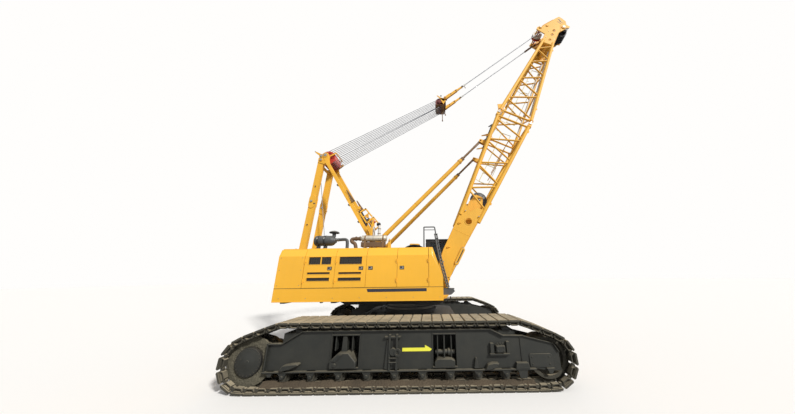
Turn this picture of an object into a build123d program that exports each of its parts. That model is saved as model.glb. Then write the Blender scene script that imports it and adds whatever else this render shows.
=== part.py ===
from build123d import *
from math import asin, atan2, cos, hypot, pi, radians, sin, tan
import os

# Crawler crane with a short lattice boom. Millimetres. The origin is on the slewing
# axis at ground level, +X towards the boom, +Y to the crane's left, +Z up.

# ---- crawlers ----
track_length = 7800.0        # overall, over the shoes
track_gauge = 5400.0         # middle to middle of the two tracks
shoe_width = 950.0
track_height = 1380.0        # top of the upper run
wrap_radius = 565.0          # round the sprocket and the idler, over the shoes
bend_to_wheel = 565.0        # from the bend, where the upper run slopes down, to the wheel
wheel_lift = 8.0             # sprocket and idler stand this much above the ground run
rise_to_wheel = 300.0        # the run leaves the ground this far before the wheel's axis
shoe_pitch = 250.0
shoe_thickness = 48.0
shoe_gap = 14.0
link_depth = 92.0            # chain links inside the shoes
link_width = 130.0
tooth_slot = 110.0           # free width between the two rows of links
track_clear = 0.4            # rollers and wheels above the links
tooth_clear = 8.0            # sprocket teeth inside the shoes
cover_radius = 290.0         # cover of the final drive
frame_width = 640.0          # side frame over its plates
frame_plate = 40.0
frame_bottom = 400.0
frame_top = 1190.0
frame_windows = [(-1510.0, -900.0), (770.0, 1280.0)]   # openings in the outer plate
window_sill = 450.0
window_head = 1080.0
roller_radius = 108.0
roller_pitch = 610.0         # about this far apart
first_roller_to_wheel = 815.0
last_roller_to_wheel = 975.0
carrier_radius = 85.0
carrier_to_wheel = (1005.0, 875.0)    # rear and front carrier roller, from the wheel's axis there

# ---- carbody and slewing ring ----
carbody_half_x = 1500.0
carbody_half_y = 1350.0
carbody_bottom = 480.0
carbody_top = 1200.0
axle_x = 900.0               # middle of each cross beam
axle_width = 560.0
ring_radius = 860.0
ring_bore = 560.0
ring_split = 1400.0
ring_height = 90.0
ring_gap = 0.4

# ---- revolving frame ----
frame_rear = -4100.0
frame_front = 1420.0
floor_bottom = ring_split + ring_gap + ring_height
floor_plate = 45.0
rear_floor_rise = 120.0      # the rear part of the floor is this much higher
rear_step_x = -2350.0        # and slopes down from here
rear_step_run = 250.0
web_inner = 740.0            # inner face of each long web
web_plate = 40.0
web_top = 2150.0
foot_x = 1080.0              # boom foot pin
foot_z = 2200.0
foot_pin_radius = 60.0
pin_clear = 0.05
seat_half_width = 290.0      # pad for the counterweight, between the rear legs' lugs
seat_pad = 20.0

# ---- machinery houses ----
house_half_width = 1500.0
house_inner = 820.0
house_rear = -4100.0
house_wall = 40.0
house_bottom = 1660.0
house_top = 3285.0
sill_top = 2050.0
chamfer_drop = 260.0
chamfer_in = 110.0
wing_start = 250.0           # front wing beside the boom foot
wing_inner = 1150.0
wing_front = 1125.0
wing_front_top = 810.0
wing_slope_z = 2330.0
left_house_front = -450.0
door_gap = 10.0
bracket_x = (-3800.0, -2250.0, -700.0)   # house brackets on the long webs
bracket_depth = 50.0
door_seams = [-3260.0, -2277.0, -1292.0, -314.0, 679.0]

# ---- boom ----
boom_angle = 63.4
boom_width = 2000.0          # chord centre to chord centre, lower section
boom_depth = 1370.0
splice_s = 7180.0            # pins between the lower and the upper section
splice_half = 130.0
plate_end_s = 2900.0         # end of the plated foot
plate_depth = 780.0
upper_end_s = 12600.0
upper_end_depth = 520.0
upper_end_width = 1000.0
tip_s = 14800.0
chord_radius = 72.0
brace_radius = 34.0
frame_radius = 40.0
foot_plate = 60.0
lower_bays = 3.5             # whole zigzags of the side lacing, front chord to front chord
upper_bays = 4.0
upper_bay_ratio = 0.955      # each half zigzag of the upper section is shorter
pendant_pin = (13900.0, 386.0)
head_sheave = (14150.0, -420.0)
idler_sheave = (13620.0, 660.0)
backstop_pin_n = 870.0
backstop_bay = 2             # rear-face station of the lower lacing that carries it
boom_winch = (3350.0, -60.0)

# ---- gantry ----
rear_leg_y = 430.0
front_leg_y = 550.0
rear_foot = (-4060.0, 2330.0)
front_foot = (-570.0, 2300.0)
gantry_head = (-3580.0, 7290.0)
rear_leg_top = (-3750.0, 7060.0)
front_leg_top = (-3480.0, 6980.0)
rear_leg_section = (230.0, 150.0)
front_leg_section = (130.0, 120.0)
leg_pin_radius = 45.0
sheave_shaft = 50.0
gantry_sheave_radius = 320.0
gantry_sheave_count = 6

# ---- luffing tackle ----
bridle_axis = (1290.0, 10180.0)
bridle_hinge = (1520.0, 10310.0)
bridle_sheave_radius = 215.0
pendant_y = 330.0
pendant_radius = 26.0
pendant_pin_radius = 40.0

# ---- backstops ----
backstop_y = 715.0
backstop_foot = (-1650.0, 3060.0)
backstop_pin_radius = 40.0
tube_radius = 80.0
rod_radius = 45.0
tube_reach = 5300.0
rod_eye_length = 340.0       # flat end of the rod, between the clevis ears
clevis_ear = 25.0
rod_inside = 3600.0

# ---- winches on the revolving frame ----
# name, x, z, flange radius, drum radius, half length
winches = [
    ("main_hoist_drum", 130.0, 2900.0, 560.0, 330.0, 520.0),
    ("auxiliary_hoist_drum", -1560.0, 2560.0, 470.0, 280.0, 440.0),
    ("boom_hoist_drum", -2950.0, 2500.0, 420.0, 250.0, 440.0),
]
winch_shaft = 70.0
winch_side_gap = 12.0

# ---- cab ----
cab_inner = 1180.0
cab_outer = 2080.0
cab_rear = 560.0
cab_floor = 1960.0
cab_roof = 3960.0
cab_wall = 45.0
glass_thickness = 8.0


def box(x0, x1, y0, y1, z0, z1):
    return Pos((x0 + x1) / 2, (y0 + y1) / 2, (z0 + z1) / 2) * Box(x1 - x0, y1 - y0, z1 - z0)


def slab(outline, y0, y1):
    """Plate cut to an outline of (x, z) points, between two y values."""
    face = make_face(Polyline([(x, y0, z) for x, z in outline], close=True))
    return extrude(face, amount=y1 - y0, dir=(0, 1, 0))


def wall_run(outline, x0, x1):
    """Bar whose section is an outline of (y, z) points, between two x values."""
    face = make_face(Polyline([(x0, y, z) for y, z in outline], close=True))
    return extrude(face, amount=x1 - x0, dir=(1, 0, 0))


def rod(a, b, radius):
    """Round bar from point a to point b."""
    a, b = Vector(*a), Vector(*b)
    return Plane(origin=a, z_dir=b - a) * Cylinder(
        radius, (b - a).length, align=(Align.CENTER, Align.CENTER, Align.MIN))


def disc(x, z, radius, y0, y1):
    """Round piece on an axis along Y."""
    return rod((x, y0, z), (x, y1, z), radius)


def ring(x, z, radius, bore, y0, y1):
    return disc(x, z, radius, y0, y1) - disc(x, z, bore, y0 - 1, y1 + 1)


def bar(a, b, width, y0, y1, a_ext=0.0, b_ext=0.0, end_width=None):
    """Flat or box bar in the XZ plane from point a to point b, each (x, z)."""
    end_width = end_width or width
    length = hypot(b[0] - a[0], b[1] - a[1])
    ux, uz = (b[0] - a[0]) / length, (b[1] - a[1]) / length
    a = (a[0] - ux * a_ext, a[1] - uz * a_ext)
    b = (b[0] + ux * b_ext, b[1] + uz * b_ext)
    sides = [(a, width / 2), (b, end_width / 2), (b, -end_width / 2), (a, -width / 2)]
    return slab([(p[0] - uz * h, p[1] + ux * h) for p, h in sides], y0, y1)


parts = {}


def add(name, *pieces):
    solids = []
    for piece in pieces:
        items = piece if isinstance(piece, (list, tuple, ShapeList)) else [piece]
        for item in items:
            solids.extend(item.solids())
    parts[name] = solids


def boxes_meet(a, b):
    a, b = a.bounding_box(), b.bounding_box()
    return all(lo < hi for lo, hi in (
        (max(a.min.X, b.min.X), min(a.max.X, b.max.X)),
        (max(a.min.Y, b.min.Y), min(a.max.Y, b.max.Y)),
        (max(a.min.Z, b.min.Z), min(a.max.Z, b.max.Z))))


def welded(plates):
    """Plates of a weldment as separate solids: each is cut back where it meets an earlier one."""
    solids = []
    for plate in plates:
        earlier = [other for other in solids if boxes_meet(plate, other)]
        for other in earlier:
            plate = plate - other
        solids.extend(plate.solids())
    return solids


def fused(*pieces):
    result = pieces[0]
    for piece in pieces[1:]:
        result = result + piece
    return result


# =============================== crawlers ===============================
wheel_x = track_length / 2 - wrap_radius
wheel_z = wrap_radius + wheel_lift
bend_x = wheel_x - bend_to_wheel
ground_x = wheel_x - rise_to_wheel
# the lower run leaves the ground on a line that is tangent to the wheel
rise_distance = hypot(wheel_x - ground_x, wheel_z)
rise_angle = atan2(wheel_z, wheel_x - ground_x) - asin(wrap_radius / rise_distance)
rise_length = (rise_distance ** 2 - wrap_radius ** 2) ** 0.5
# the upper run slopes down on a line from the bend to its tangent on the wheel
bend_dx, bend_dz = wheel_x - bend_x, wheel_z - track_height
bend_distance = hypot(bend_dx, bend_dz)
slope_angle = atan2(bend_dz, bend_dx) + asin(wrap_radius / bend_distance)
tangent = (wheel_x - wrap_radius * sin(slope_angle), wheel_z + wrap_radius * cos(slope_angle))


def loop_spans():
    """Straight and round spans of half a track, from the ground's middle to the top's."""
    run = hypot(tangent[0] - bend_x, tangent[1] - track_height)
    turn = pi + slope_angle
    return [("line", ground_x, (0.0, 0.0), 0.0),
            ("line", rise_length, (ground_x, 0.0), rise_angle),
            ("arc", wrap_radius * (turn - rise_angle), (wheel_x, wheel_z), rise_angle),
            ("line", run, tangent, turn),
            ("line", bend_x, (bend_x, track_height), pi)]


def loop_point(distance, depth):
    """Point on the track loop, a distance round it and a depth inside it."""
    spans = loop_spans()
    half = sum(span[1] for span in spans)
    mirrored = distance > half
    if mirrored:
        distance = 2 * half - distance
    for kind, length, start, heading in spans:
        if distance <= length:
            break
        distance -= length
    if kind == "line":
        x = start[0] + distance * cos(heading) - depth * sin(heading)
        z = start[1] + distance * sin(heading) + depth * cos(heading)
    else:
        angle = heading + distance / wrap_radius
        x = start[0] + (wrap_radius - depth) * sin(angle)
        z = start[1] - (wrap_radius - depth) * cos(angle)
    return (-x if mirrored else x), z


loop_length = 2 * sum(span[1] for span in loop_spans())
shoe_count = round(loop_length / shoe_pitch)
shoe_step = loop_length / shoe_count


def loop_band(outer, inner, notch, y0, y1):
    """Closed band between two depths, with a notch between neighbouring shoes."""
    outside, inside = [], []
    for i in range(shoe_count):
        start = i * shoe_step
        if notch:
            outside += [loop_point(start + shoe_gap / 2, outer),
                        loop_point(start + shoe_step - shoe_gap / 2, outer),
                        loop_point(start + shoe_step - shoe_gap / 2, outer + notch),
                        loop_point((start + shoe_step + shoe_gap / 2) % loop_length, outer + notch)]
        else:
            outside.append(loop_point(start, outer))
        inside.append(loop_point(start, inner))
    return slab(outside, y0, y1) - slab(inside, y0 - 1, y1 + 1)


def carrier_height(x):
    """Axis height of a carrier roller at x, clear of every flat of the upper run near it."""
    inner = [loop_point(i * shoe_step, shoe_thickness + link_depth) for i in range(shoe_count)]
    upper = sorted(point for point in inner if point[1] > wheel_z)
    heights = []
    for (x0, z0), (x1, z1) in zip(upper, upper[1:]):
        if abs((x0 + x1) / 2 - x) < 2 * shoe_pitch:
            slope = atan2(z1 - z0, x1 - x0)
            heights.append(z0 + (x - x0) * tan(slope) - (carrier_radius + track_clear) / cos(slope))
    return min(heights)


roller_z = shoe_thickness + link_depth + track_clear + roller_radius
# the plates' outline, as distances from the sprocket's axis at the rear and the idler's in front
rear_outline = [(395, frame_bottom - 10), (395, 940), (715, 940), (1145, frame_top)]
front_outline = [(-1265, frame_top), (-975, 1050), (-535, 1040), (135, 880), (235, 720),
                 (245, 340), (-35, 340), (-335, frame_bottom - 10)]
side_outline = [(x - wheel_x, z) for x, z in rear_outline]
side_outline += [(x + wheel_x, z) for x, z in front_outline]
flange_x = (side_outline[3][0], side_outline[4][0])
core_half = wheel_x - 685
core_wall = 50.0
roller_first_x = first_roller_to_wheel - wheel_x
roller_last_x = wheel_x - last_roller_to_wheel
roller_count = round((roller_last_x - roller_first_x) / roller_pitch) + 1
wheel_width = frame_width - 2 * frame_plate - 20
# the shoes and links lie as flats round the wheel, so the wheel fits inside the flats
flat_share = cos(shoe_step / wrap_radius / 2)
wheel_tread = (wrap_radius - shoe_thickness - link_depth) * flat_share - track_clear
tooth_radius = (wrap_radius - shoe_thickness) * flat_share - tooth_clear
tooth_count = round(2 * pi * (wrap_radius - shoe_thickness) / shoe_step)


shared = {"drive_sprockets": [], "final_drives": [], "idlers": [], "track_rollers": []}


def crawler(side, name):
    """One crawler; side is -1 on the right and 1 on the left."""
    mid = side * track_gauge / 2
    half = frame_width / 2

    def span(a, b):
        return sorted((mid + side * a, mid + side * b))

    shoes = loop_band(0.0, shoe_thickness, shoe_thickness - 12.0, mid - shoe_width / 2,
                      mid + shoe_width / 2)
    links = [loop_band(shoe_thickness - 1.0, shoe_thickness + link_depth, 0.0, *span(a, b))
             for a, b in ((tooth_slot / 2, tooth_slot / 2 + link_width),
                          (-tooth_slot / 2 - link_width, -tooth_slot / 2))]
    add(name + "_track", fused(shoes, *links))

    plates = [slab(side_outline, *span(half - frame_plate, half)),
              slab(side_outline, *span(-half, frame_plate - half))]
    core = box(-core_half, core_half, mid - half + frame_plate, mid + half - frame_plate,
               frame_bottom, frame_top - 60)
    hollow = box(core_wall - core_half, core_half - core_wall, mid - half + frame_plate + 1,
                 mid + half - frame_plate - 1, frame_bottom + 40, frame_top - 100)
    flange = box(*flange_x, mid - half, mid + half, frame_top - 25, frame_top)
    side_frame = fused(core - hollow, *plates, flange)
    for x0, x1 in frame_windows:
        side_frame -= box(x0, x1, *span(half - frame_plate - 5, half + 5), window_sill, window_head)
    side_frame -= disc(-wheel_x, wheel_z, 150, mid - half - 1, mid + half + 1)
    side_frame -= disc(wheel_x, wheel_z, 70 + pin_clear, mid - half - 1, mid + half + 1)
    add(name + "_track_frame", side_frame)

    teeth = disc(-wheel_x, wheel_z, tooth_radius, mid - tooth_slot / 2 + 8,
                 mid + tooth_slot / 2 - 8)
    for i in range(tooth_count):
        angle = 2 * pi * i / tooth_count
        gap_x = -wheel_x + (wrap_radius - shoe_thickness) * cos(angle)
        gap_z = wheel_z + (wrap_radius - shoe_thickness) * sin(angle)
        teeth -= disc(gap_x, gap_z, 58, mid - tooth_slot, mid + tooth_slot)
    rims = disc(-wheel_x, wheel_z, wheel_tread, mid - wheel_width / 2, mid + wheel_width / 2)
    rims -= disc(-wheel_x, wheel_z, wheel_tread + 5, mid - tooth_slot / 2 + 8,
                 mid + tooth_slot / 2 - 8)
    shared["drive_sprockets"].append(fused(rims, teeth))
    drive = [disc(-wheel_x, wheel_z, 149.6, *span(wheel_width / 2, half - 40)),
             disc(-wheel_x, wheel_z, cover_radius, *span(half - 40, half + 10)),
             disc(-wheel_x, wheel_z, cover_radius - 25, *span(half + 10, half + 20)),
             disc(-wheel_x, wheel_z, 149.6, *span(-wheel_width / 2, -half - 120))]
    drive.append(disc(-wheel_x, wheel_z, 240, *span(-half - 120, -half - 360)))
    shared["final_drives"] += [fused(*drive[:3]), fused(*drive[3:])]

    idler = disc(wheel_x, wheel_z, wheel_tread, mid - wheel_width / 2, mid + wheel_width / 2)
    for face in (-1, 1):
        edge = mid + face * wheel_width / 2
        inner = mid + face * (wheel_width / 2 - 70)
        y0, y1 = sorted((edge + face, inner))
        idler -= ring(wheel_x, wheel_z, wheel_tread - 70, 130, y0, y1)
    shaft = disc(wheel_x, wheel_z, 70, mid - half, mid + half)
    shared["idlers"].append(fused(idler, shaft))

    rollers = []
    step = (roller_last_x - roller_first_x) / (roller_count - 1)
    for i in range(roller_count):
        x = roller_first_x + i * step
        roller = disc(x, roller_z, roller_radius, mid - wheel_width / 2 + 20,
                      mid + wheel_width / 2 - 20)
        roller -= ring(x, roller_z, roller_radius + 5, 60, mid - tooth_slot / 2,
                       mid + tooth_slot / 2)
        hub = disc(x, roller_z, 45, mid - half, mid + half)
        feet = [slab([(x - 100, frame_bottom - 10), (x + 100, frame_bottom - 10),
                      (x + 55, roller_z - 55), (x - 55, roller_z - 55)], *span(a, b))
                for a, b in ((half - frame_plate, half), (-half, frame_plate - half))]
        rollers.append(fused(roller, hub, *feet))
    carriers = []
    for x in (carrier_to_wheel[0] - wheel_x, wheel_x - carrier_to_wheel[1]):
        carrier_z = carrier_height(x)
        carrier = disc(x, carrier_z, carrier_radius, mid - 190, mid + 190)
        posts = [box(x - 60, x + 60, *span(a, b), 1049, carrier_z + 40)
                 for a, b in ((190, 230), (-230, -190))]
        carriers.append(fused(carrier, *posts) - side_frame)
    shared["track_rollers"] += rollers + carriers


crawler(-1, "right")
crawler(1, "left")
for name, pieces in shared.items():
    add(name, *pieces)

# =============================== carbody ===============================
beam_end = track_gauge / 2 - frame_width / 2
carbody = box(-carbody_half_x, carbody_half_x, -carbody_half_y, carbody_half_y,
              carbody_bottom, carbody_top)
for sx in (-1, 1):
    for sy in (-1, 1):
        carbody -= Pos(sx * carbody_half_x, sy * carbody_half_y, 0) * Rot(0, 0, 45) * Box(
            420, 420, 4000)
    x = sx * axle_x
    carbody += box(x - axle_width / 2, x + axle_width / 2, -beam_end, beam_end,
                   carbody_bottom + 60, carbody_top - 90)
carbody += Pos(0, 0, carbody_top) * Cylinder(
    ring_radius + 60, ring_split - ring_height - carbody_top,
    align=(Align.CENTER, Align.CENTER, Align.MIN))
carbody -= Pos(0, 0, 800) * Cylinder(ring_bore, 3000)
add("carbody", carbody)

ring_lower = Pos(0, 0, ring_split - ring_height / 2) * Cylinder(ring_radius, ring_height)
ring_lower -= Pos(0, 0, ring_split - ring_height / 2) * Cylinder(ring_bore + 60, ring_height + 2)
add("slewing_ring_lower", ring_lower)
upper_z = ring_split + ring_gap + ring_height / 2
ring_upper = Pos(0, 0, upper_z) * Cylinder(ring_radius - 30, ring_height)
ring_upper -= Pos(0, 0, upper_z) * Cylinder(ring_bore + 60, ring_height + 2)
add("slewing_ring_upper", ring_upper)

# ============================ revolving frame ============================
floor_top = floor_bottom + floor_plate
lug_gap = foot_plate / 2 + 5.0
lug_plate = 50.0
boom_half = boom_width / 2
ring_hole = Pos(0, 0, floor_bottom) * Cylinder(ring_bore - 40, 400)
lug_outer = boom_half + lug_gap + lug_plate
rear_bottom, rear_top = floor_bottom + rear_floor_rise, floor_top + rear_floor_rise
low_from = rear_step_x + rear_step_run
web_outer = web_inner + web_plate
plates = [box(low_from, frame_front - 500, -web_outer, web_outer, floor_bottom,
              floor_top) - ring_hole,
          slab([(frame_rear, rear_bottom), (frame_rear, rear_top), (rear_step_x, rear_top),
                (low_from, floor_top), (low_from, floor_bottom), (rear_step_x, rear_bottom)],
               -web_outer, web_outer),
          box(250, frame_front - 300, -lug_outer, lug_outer, floor_bottom, floor_top) - ring_hole]
for side in (-1, 1):
    y0, y1 = sorted((side * web_inner, side * (web_inner + web_plate)))
    plates.append(slab([(frame_rear, rear_top), (frame_rear, web_top), (300, web_top),
                        (300, floor_top), (low_from, floor_top), (rear_step_x, rear_top)],
                       y0, y1))
    for a in (lug_gap, -lug_gap - lug_plate):
        y0, y1 = sorted((side * (boom_half + a), side * (boom_half + a + lug_plate)))
        lug = slab([(250, floor_top), (250, web_top - 100), (foot_x - 250, foot_z + 140),
                    (foot_x + 120, foot_z + 140), (frame_front - 80, foot_z - 120),
                    (frame_front - 300, floor_top)], y0, y1)
        plates.append(lug - disc(foot_x, foot_z, foot_pin_radius + pin_clear, y0 - 1, y1 + 1))
plates.append(box(250, 400, -lug_outer, lug_outer, floor_top, web_top - 100))
plates.append(box(frame_rear, frame_rear + 400, -web_inner, web_inner, rear_top, web_top))
plates.append(box(frame_rear, frame_rear + 400, -seat_half_width, seat_half_width, web_top,
                  web_top + seat_pad))
plates.append(box(front_foot[0] - 200, front_foot[0] + 200, -web_inner, web_inner, floor_top,
                  web_top - 50))
for side in (-1, 1):
    for x in bracket_x:
        y0, y1 = sorted((side * (web_inner + web_plate - 1), side * (house_half_width - 60)))
        plates.append(box(x - 70, x + 70, y0, y1, house_bottom - bracket_depth, house_bottom))
leg_lug = 35.0
for side in (-1, 1):
    for foot, y, section, base in ((rear_foot, rear_leg_y, rear_leg_section, web_top),
                                   (front_foot, front_leg_y, front_leg_section, web_top - 50)):
        for a in (section[1] / 2 + 3, -section[1] / 2 - 3 - leg_lug):
            y0, y1 = sorted((side * (y + a), side * (y + a + leg_lug)))
            x0 = max(foot[0] - 110, frame_rear)
            lug = slab([(x0, base), (x0, foot[1] + 90), (foot[0] + 110, foot[1] + 90),
                        (foot[0] + 110, base)], y0, y1)
            plates.append(lug - disc(foot[0], foot[1], leg_pin_radius + pin_clear, y0 - 1, y1 + 1))
for side in (-1, 1):
    # backstop post: two plates on the web, each side of the tube's eye, and the pin
    y0, y1 = sorted((side * (backstop_y - 75), side * (backstop_y + 75)))
    plates.append(disc(backstop_foot[0], backstop_foot[1], backstop_pin_radius, y0, y1))
    plates.append(box(backstop_foot[0] - 260, backstop_foot[0] + 260, y0, y1,
                      web_top - 120, web_top - 60))
    for y_in, y_out in ((backstop_y - 75, backstop_y - 45), (backstop_y + 45, backstop_y + 75)):
        y0, y1 = sorted((side * y_in, side * y_out))
        plates.append(slab([(backstop_foot[0] - 260, web_top - 60),
                            (backstop_foot[0] - 90, backstop_foot[1] + 90),
                            (backstop_foot[0] + 90, backstop_foot[1] + 90),
                            (backstop_foot[0] + 260, web_top - 60)], y0, y1))
winch_plate = 30.0
for name, x, z, flange, drum, half in winches:
    for side in (-1, 1):
        y_in = half + winch_side_gap
        y0, y1 = sorted((side * y_in, side * (y_in + winch_plate)))
        base = rear_top if x < rear_step_x else floor_top
        plate = slab([(x - 300, base), (x - 120, z + 130), (x + 120, z + 130),
                      (x + 300, base)], y0, y1)
        plates.append(plate - disc(x, z, winch_shaft + pin_clear, y0 - 1, y1 + 1))
add("revolving_frame", welded(plates))
for name, x, z, flange, drum, half in winches:
    spool = disc(x, z, drum, -half, half)
    spool += disc(x, z, flange, -half, -half + 35)
    spool += disc(x, z, flange, half - 35, half)
    spool += disc(x, z, winch_shaft, -half - winch_side_gap - winch_plate,
                  half + winch_side_gap + winch_plate)
    add(name, spool)

# ============================ machinery houses ============================
chamfer_z = house_top - chamfer_drop


def side_section(outer, top, side, bottom):
    """Wall section of a house side: upright, then leaning in at the top."""
    wall = house_wall
    points = [(outer, bottom), (outer, chamfer_z), (outer - chamfer_in, top),
              (outer - chamfer_in - wall, top), (outer - wall, chamfer_z), (outer - wall, bottom)]
    return [(side * y, z) for y, z in points]


def house_shell(side, front, seams):
    """Sill, fixed end panels, inner wall, floor and end walls of one house."""
    outer = house_half_width
    wall = house_wall

    def across(a, b):
        return sorted((side * a, side * b))

    top = house_top - wall
    shell = [box(house_rear, front, *across(outer - wall, outer), house_bottom, sill_top),
             box(house_rear, front, *across(house_inner, outer), house_bottom,
                 house_bottom + wall),
             box(house_rear, front, *across(house_inner, house_inner + wall),
                 house_bottom + wall, top)]
    end = [(side * house_inner, house_bottom), (side * outer, house_bottom),
           (side * outer, chamfer_z), (side * (outer - chamfer_in + wall * 0.42), top),
           (side * house_inner, top)]
    shell.append(wall_run(end, house_rear, house_rear + wall))
    shell.append(wall_run(end, front - wall, front))
    panel = side_section(outer, top, side, sill_top)
    shell.append(wall_run(panel, house_rear, seams[0] - door_gap))
    for seam in seams[:-1]:
        post = [(side * (outer - wall - 60), house_bottom + wall - 1),
                (side * (outer - wall - 5), house_bottom + wall - 1),
                (side * (outer - wall - 5), chamfer_z - 30),
                (side * (outer - wall - 60), chamfer_z - 30)]
        shell.append(wall_run(post, seam - 30, seam + 30))
    return shell


hinge_pin_radius = 7.0
knuckle_radius = 12.0
knuckle_half = 60.0
hinge_levels = (2260.0, 2850.0)


def upright(x, y, radius, z0, z1):
    return rod((x, y, z0), (x, y, z1), radius)


def door_hinge(side, seam, towards, z):
    """Fixed and moving half of one hinge; towards points from the seam into the door."""
    face = house_half_width
    x, y = hinge_axis(side, seam, towards)

    def block(x0, x1, a, b, z0, z1):
        return box(min(x0, x1), max(x0, x1), *sorted((side * a, side * b)), z0, z1)

    fixed = upright(x, y, hinge_pin_radius, z - knuckle_half, z + knuckle_half)
    fixed += block(seam - 1.5, seam + 1.5, face - 50, face + 10, z - knuckle_half,
                   z + knuckle_half)
    for z0, z1 in ((z - knuckle_half, z - 20), (z + 20, z + knuckle_half)):
        fixed += upright(x, y, knuckle_radius, z0, z1)
        fixed += block(seam - towards * 1.5, x, face + 6, face + 10, z0, z1)
    moving = upright(x, y, knuckle_radius, z - 19.7, z + 19.7)
    moving += block(x, x + towards * 50, face - 1, face + 12, z - 19.7, z + 19.7)
    moving -= upright(x, y, hinge_pin_radius + pin_clear, z - 30, z + 30)
    return fixed, moving


def hinge_axis(side, seam, towards):
    return seam + towards * 16, side * (house_half_width + 20)


def door_hinges(side, seam, towards):
    pairs = [door_hinge(side, seam, towards, z) for z in hinge_levels]
    return [pair[0] for pair in pairs], [pair[1] for pair in pairs]


right_front = wing_start
right = house_shell(-1, right_front, door_seams[:4] + [right_front])
wing = box(wing_start - 1, wing_front, -house_half_width, -wing_inner, house_bottom, house_top)
wing -= slab([(wing_front, wing_slope_z), (wing_front_top, house_top),
              (wing_front_top, house_top + 50), (wing_front + 50, house_top + 50),
              (wing_front + 50, wing_slope_z)], -house_half_width - 1, -wing_inner + 1)
wing -= wall_run([(-house_half_width, chamfer_z), (-house_half_width + chamfer_in, house_top),
                  (-house_half_width - 50, house_top + 50), (-house_half_width - 50, chamfer_z)],
                 wing_start - 10, wing_front + 10)
wing_room = box(wing_start - 5, wing_front - 60, -house_half_width - 1, -wing_inner - house_wall,
                sill_top, house_top - 45)
wing_room -= slab([(wing_front - 60, wing_slope_z), (wing_front_top - 60, house_top),
                   (wing_front_top - 60, house_top + 50), (wing_front + 50, house_top + 50),
                   (wing_front + 50, wing_slope_z)], -house_half_width - 5, -wing_inner + 1)
wing_room -= wall_run(side_section(house_half_width, house_top, -1, sill_top - 5),
                      door_seams[4] + door_gap, wing_front)
wing -= wing_room
wing -= box(wing_start - 2, door_seams[4] + door_gap, -house_half_width - 5,
            -house_half_width + chamfer_in + house_wall + 8, sill_top, house_top + 5)
wing_door = box(right_front - house_wall - 1, right_front + 1, -house_half_width - 1,
                -wing_inner - house_wall, sill_top, house_top - house_wall)
right_shell = [plate - wing_door for plate in right] + [wing]
wing_post_y = sorted((-house_half_width + house_wall + 5, -house_half_width + house_wall + 60))
right_shell.append(box(door_seams[4] - 30, door_seams[4] + 30, *wing_post_y, sill_top,
                       chamfer_z - 30))
# doors 1 and 2 hang on their rear edges, the others on their front edges
right_hung = {1: (0, 1), 2: (1, 1), 3: (3, -1), 4: (4, -1)}
hung = {}
for number, (seam, towards) in right_hung.items():
    fixed, hung[-1, number] = door_hinges(-1, door_seams[seam], towards)
    right_shell += fixed
add("right_house", welded(right_shell))
left_seams = door_seams[:3] + [left_house_front - 60]
left = house_shell(1, left_house_front, left_seams + [left_house_front])
left.append(wall_run(side_section(house_half_width, house_top - house_wall, 1, sill_top),
                     left_seams[-1] + door_gap, left_house_front))
left_hung = {1: (0, 1), 2: (1, 1), 3: (3, -1)}
for number, (seam, towards) in left_hung.items():
    fixed, hung[1, number] = door_hinges(1, left_seams[seam], towards)
    left += fixed
add("left_house", welded(left))


def house_roof(side, front):
    top = house_top
    wall = house_wall
    section = [(side * house_inner, top - wall), (side * (house_half_width - chamfer_in - wall - 8),
               top - wall), (side * (house_half_width - chamfer_in - wall - 8), top),
               (side * house_inner, top)]
    return wall_run(section, house_rear, front)


add("right_house_roof", house_roof(-1, wing_start - 2))
add("left_house_roof", house_roof(1, left_house_front))


def house_door(side, number, seams):
    x0, x1 = seams[number - 1], seams[number]
    section = side_section(house_half_width, house_top, side, sill_top + door_gap)
    door = wall_run(section, x0 + door_gap / 2, x1 - door_gap / 2)
    return fused(door, *hung[side, number])


vent_tables = {
    1: [(-3130.0, -2420.0, 2765.0, 2995.0), (-3135.0, -2425.0, 2468.0, 2525.0),
        (-3135.0, -2425.0, 2263.0, 2359.0)],
    2: [(-2155.0, -1440.0, 2765.0, 2995.0), (-2155.0, -1440.0, 2463.0, 2520.0),
        (-2155.0, -1440.0, 2258.0, 2354.0)],
}
for number in range(1, 5):
    door = house_door(-1, number, door_seams)
    for x0, x1, z0, z1 in vent_tables.get(number, []):
        door -= box(x0, x1, -house_half_width - 5, -house_half_width + 25, z0, z1)
    add(f"right_door_{number}", door)
for number in range(1, 4):
    add(f"left_door_{number}", house_door(1, number, left_seams))
add("engine", box(-2900, -1400, -1380, -900, house_bottom + house_wall, 2780))

# roof items on the right house
cleaner_z = 3575.0
cleaner = rod((-3180, -1150, cleaner_z), (-2480, -1150, cleaner_z), 175)
cleaner_feet = [box(x - 30, x + 30, -1270, -1030, house_top, cleaner_z - 90)
                for x in (-3020, -2650)]
cap = rod((-2560, -1150, cleaner_z + 100), (-2560, -1150, cleaner_z + 270), 75)
cap += rod((-2560, -1150, cleaner_z + 250), (-2560, -1150, cleaner_z + 330), 180)
add("air_cleaner", fused(cleaner, cap, *cleaner_feet))
muffler_z = 3635.0
muffler = rod((-1660, -1150, muffler_z), (-680, -1150, muffler_z), 112)
muffler_feet = [box(x - 30, x + 30, -1240, -1060, house_top, muffler_z - 60)
                for x in (-1480, -860)]
pipe = rod((-1020, -1150, muffler_z + 60), (-1020, -1150, muffler_z + 420), 55)
add("muffler", fused(muffler, pipe, *muffler_feet))

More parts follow.
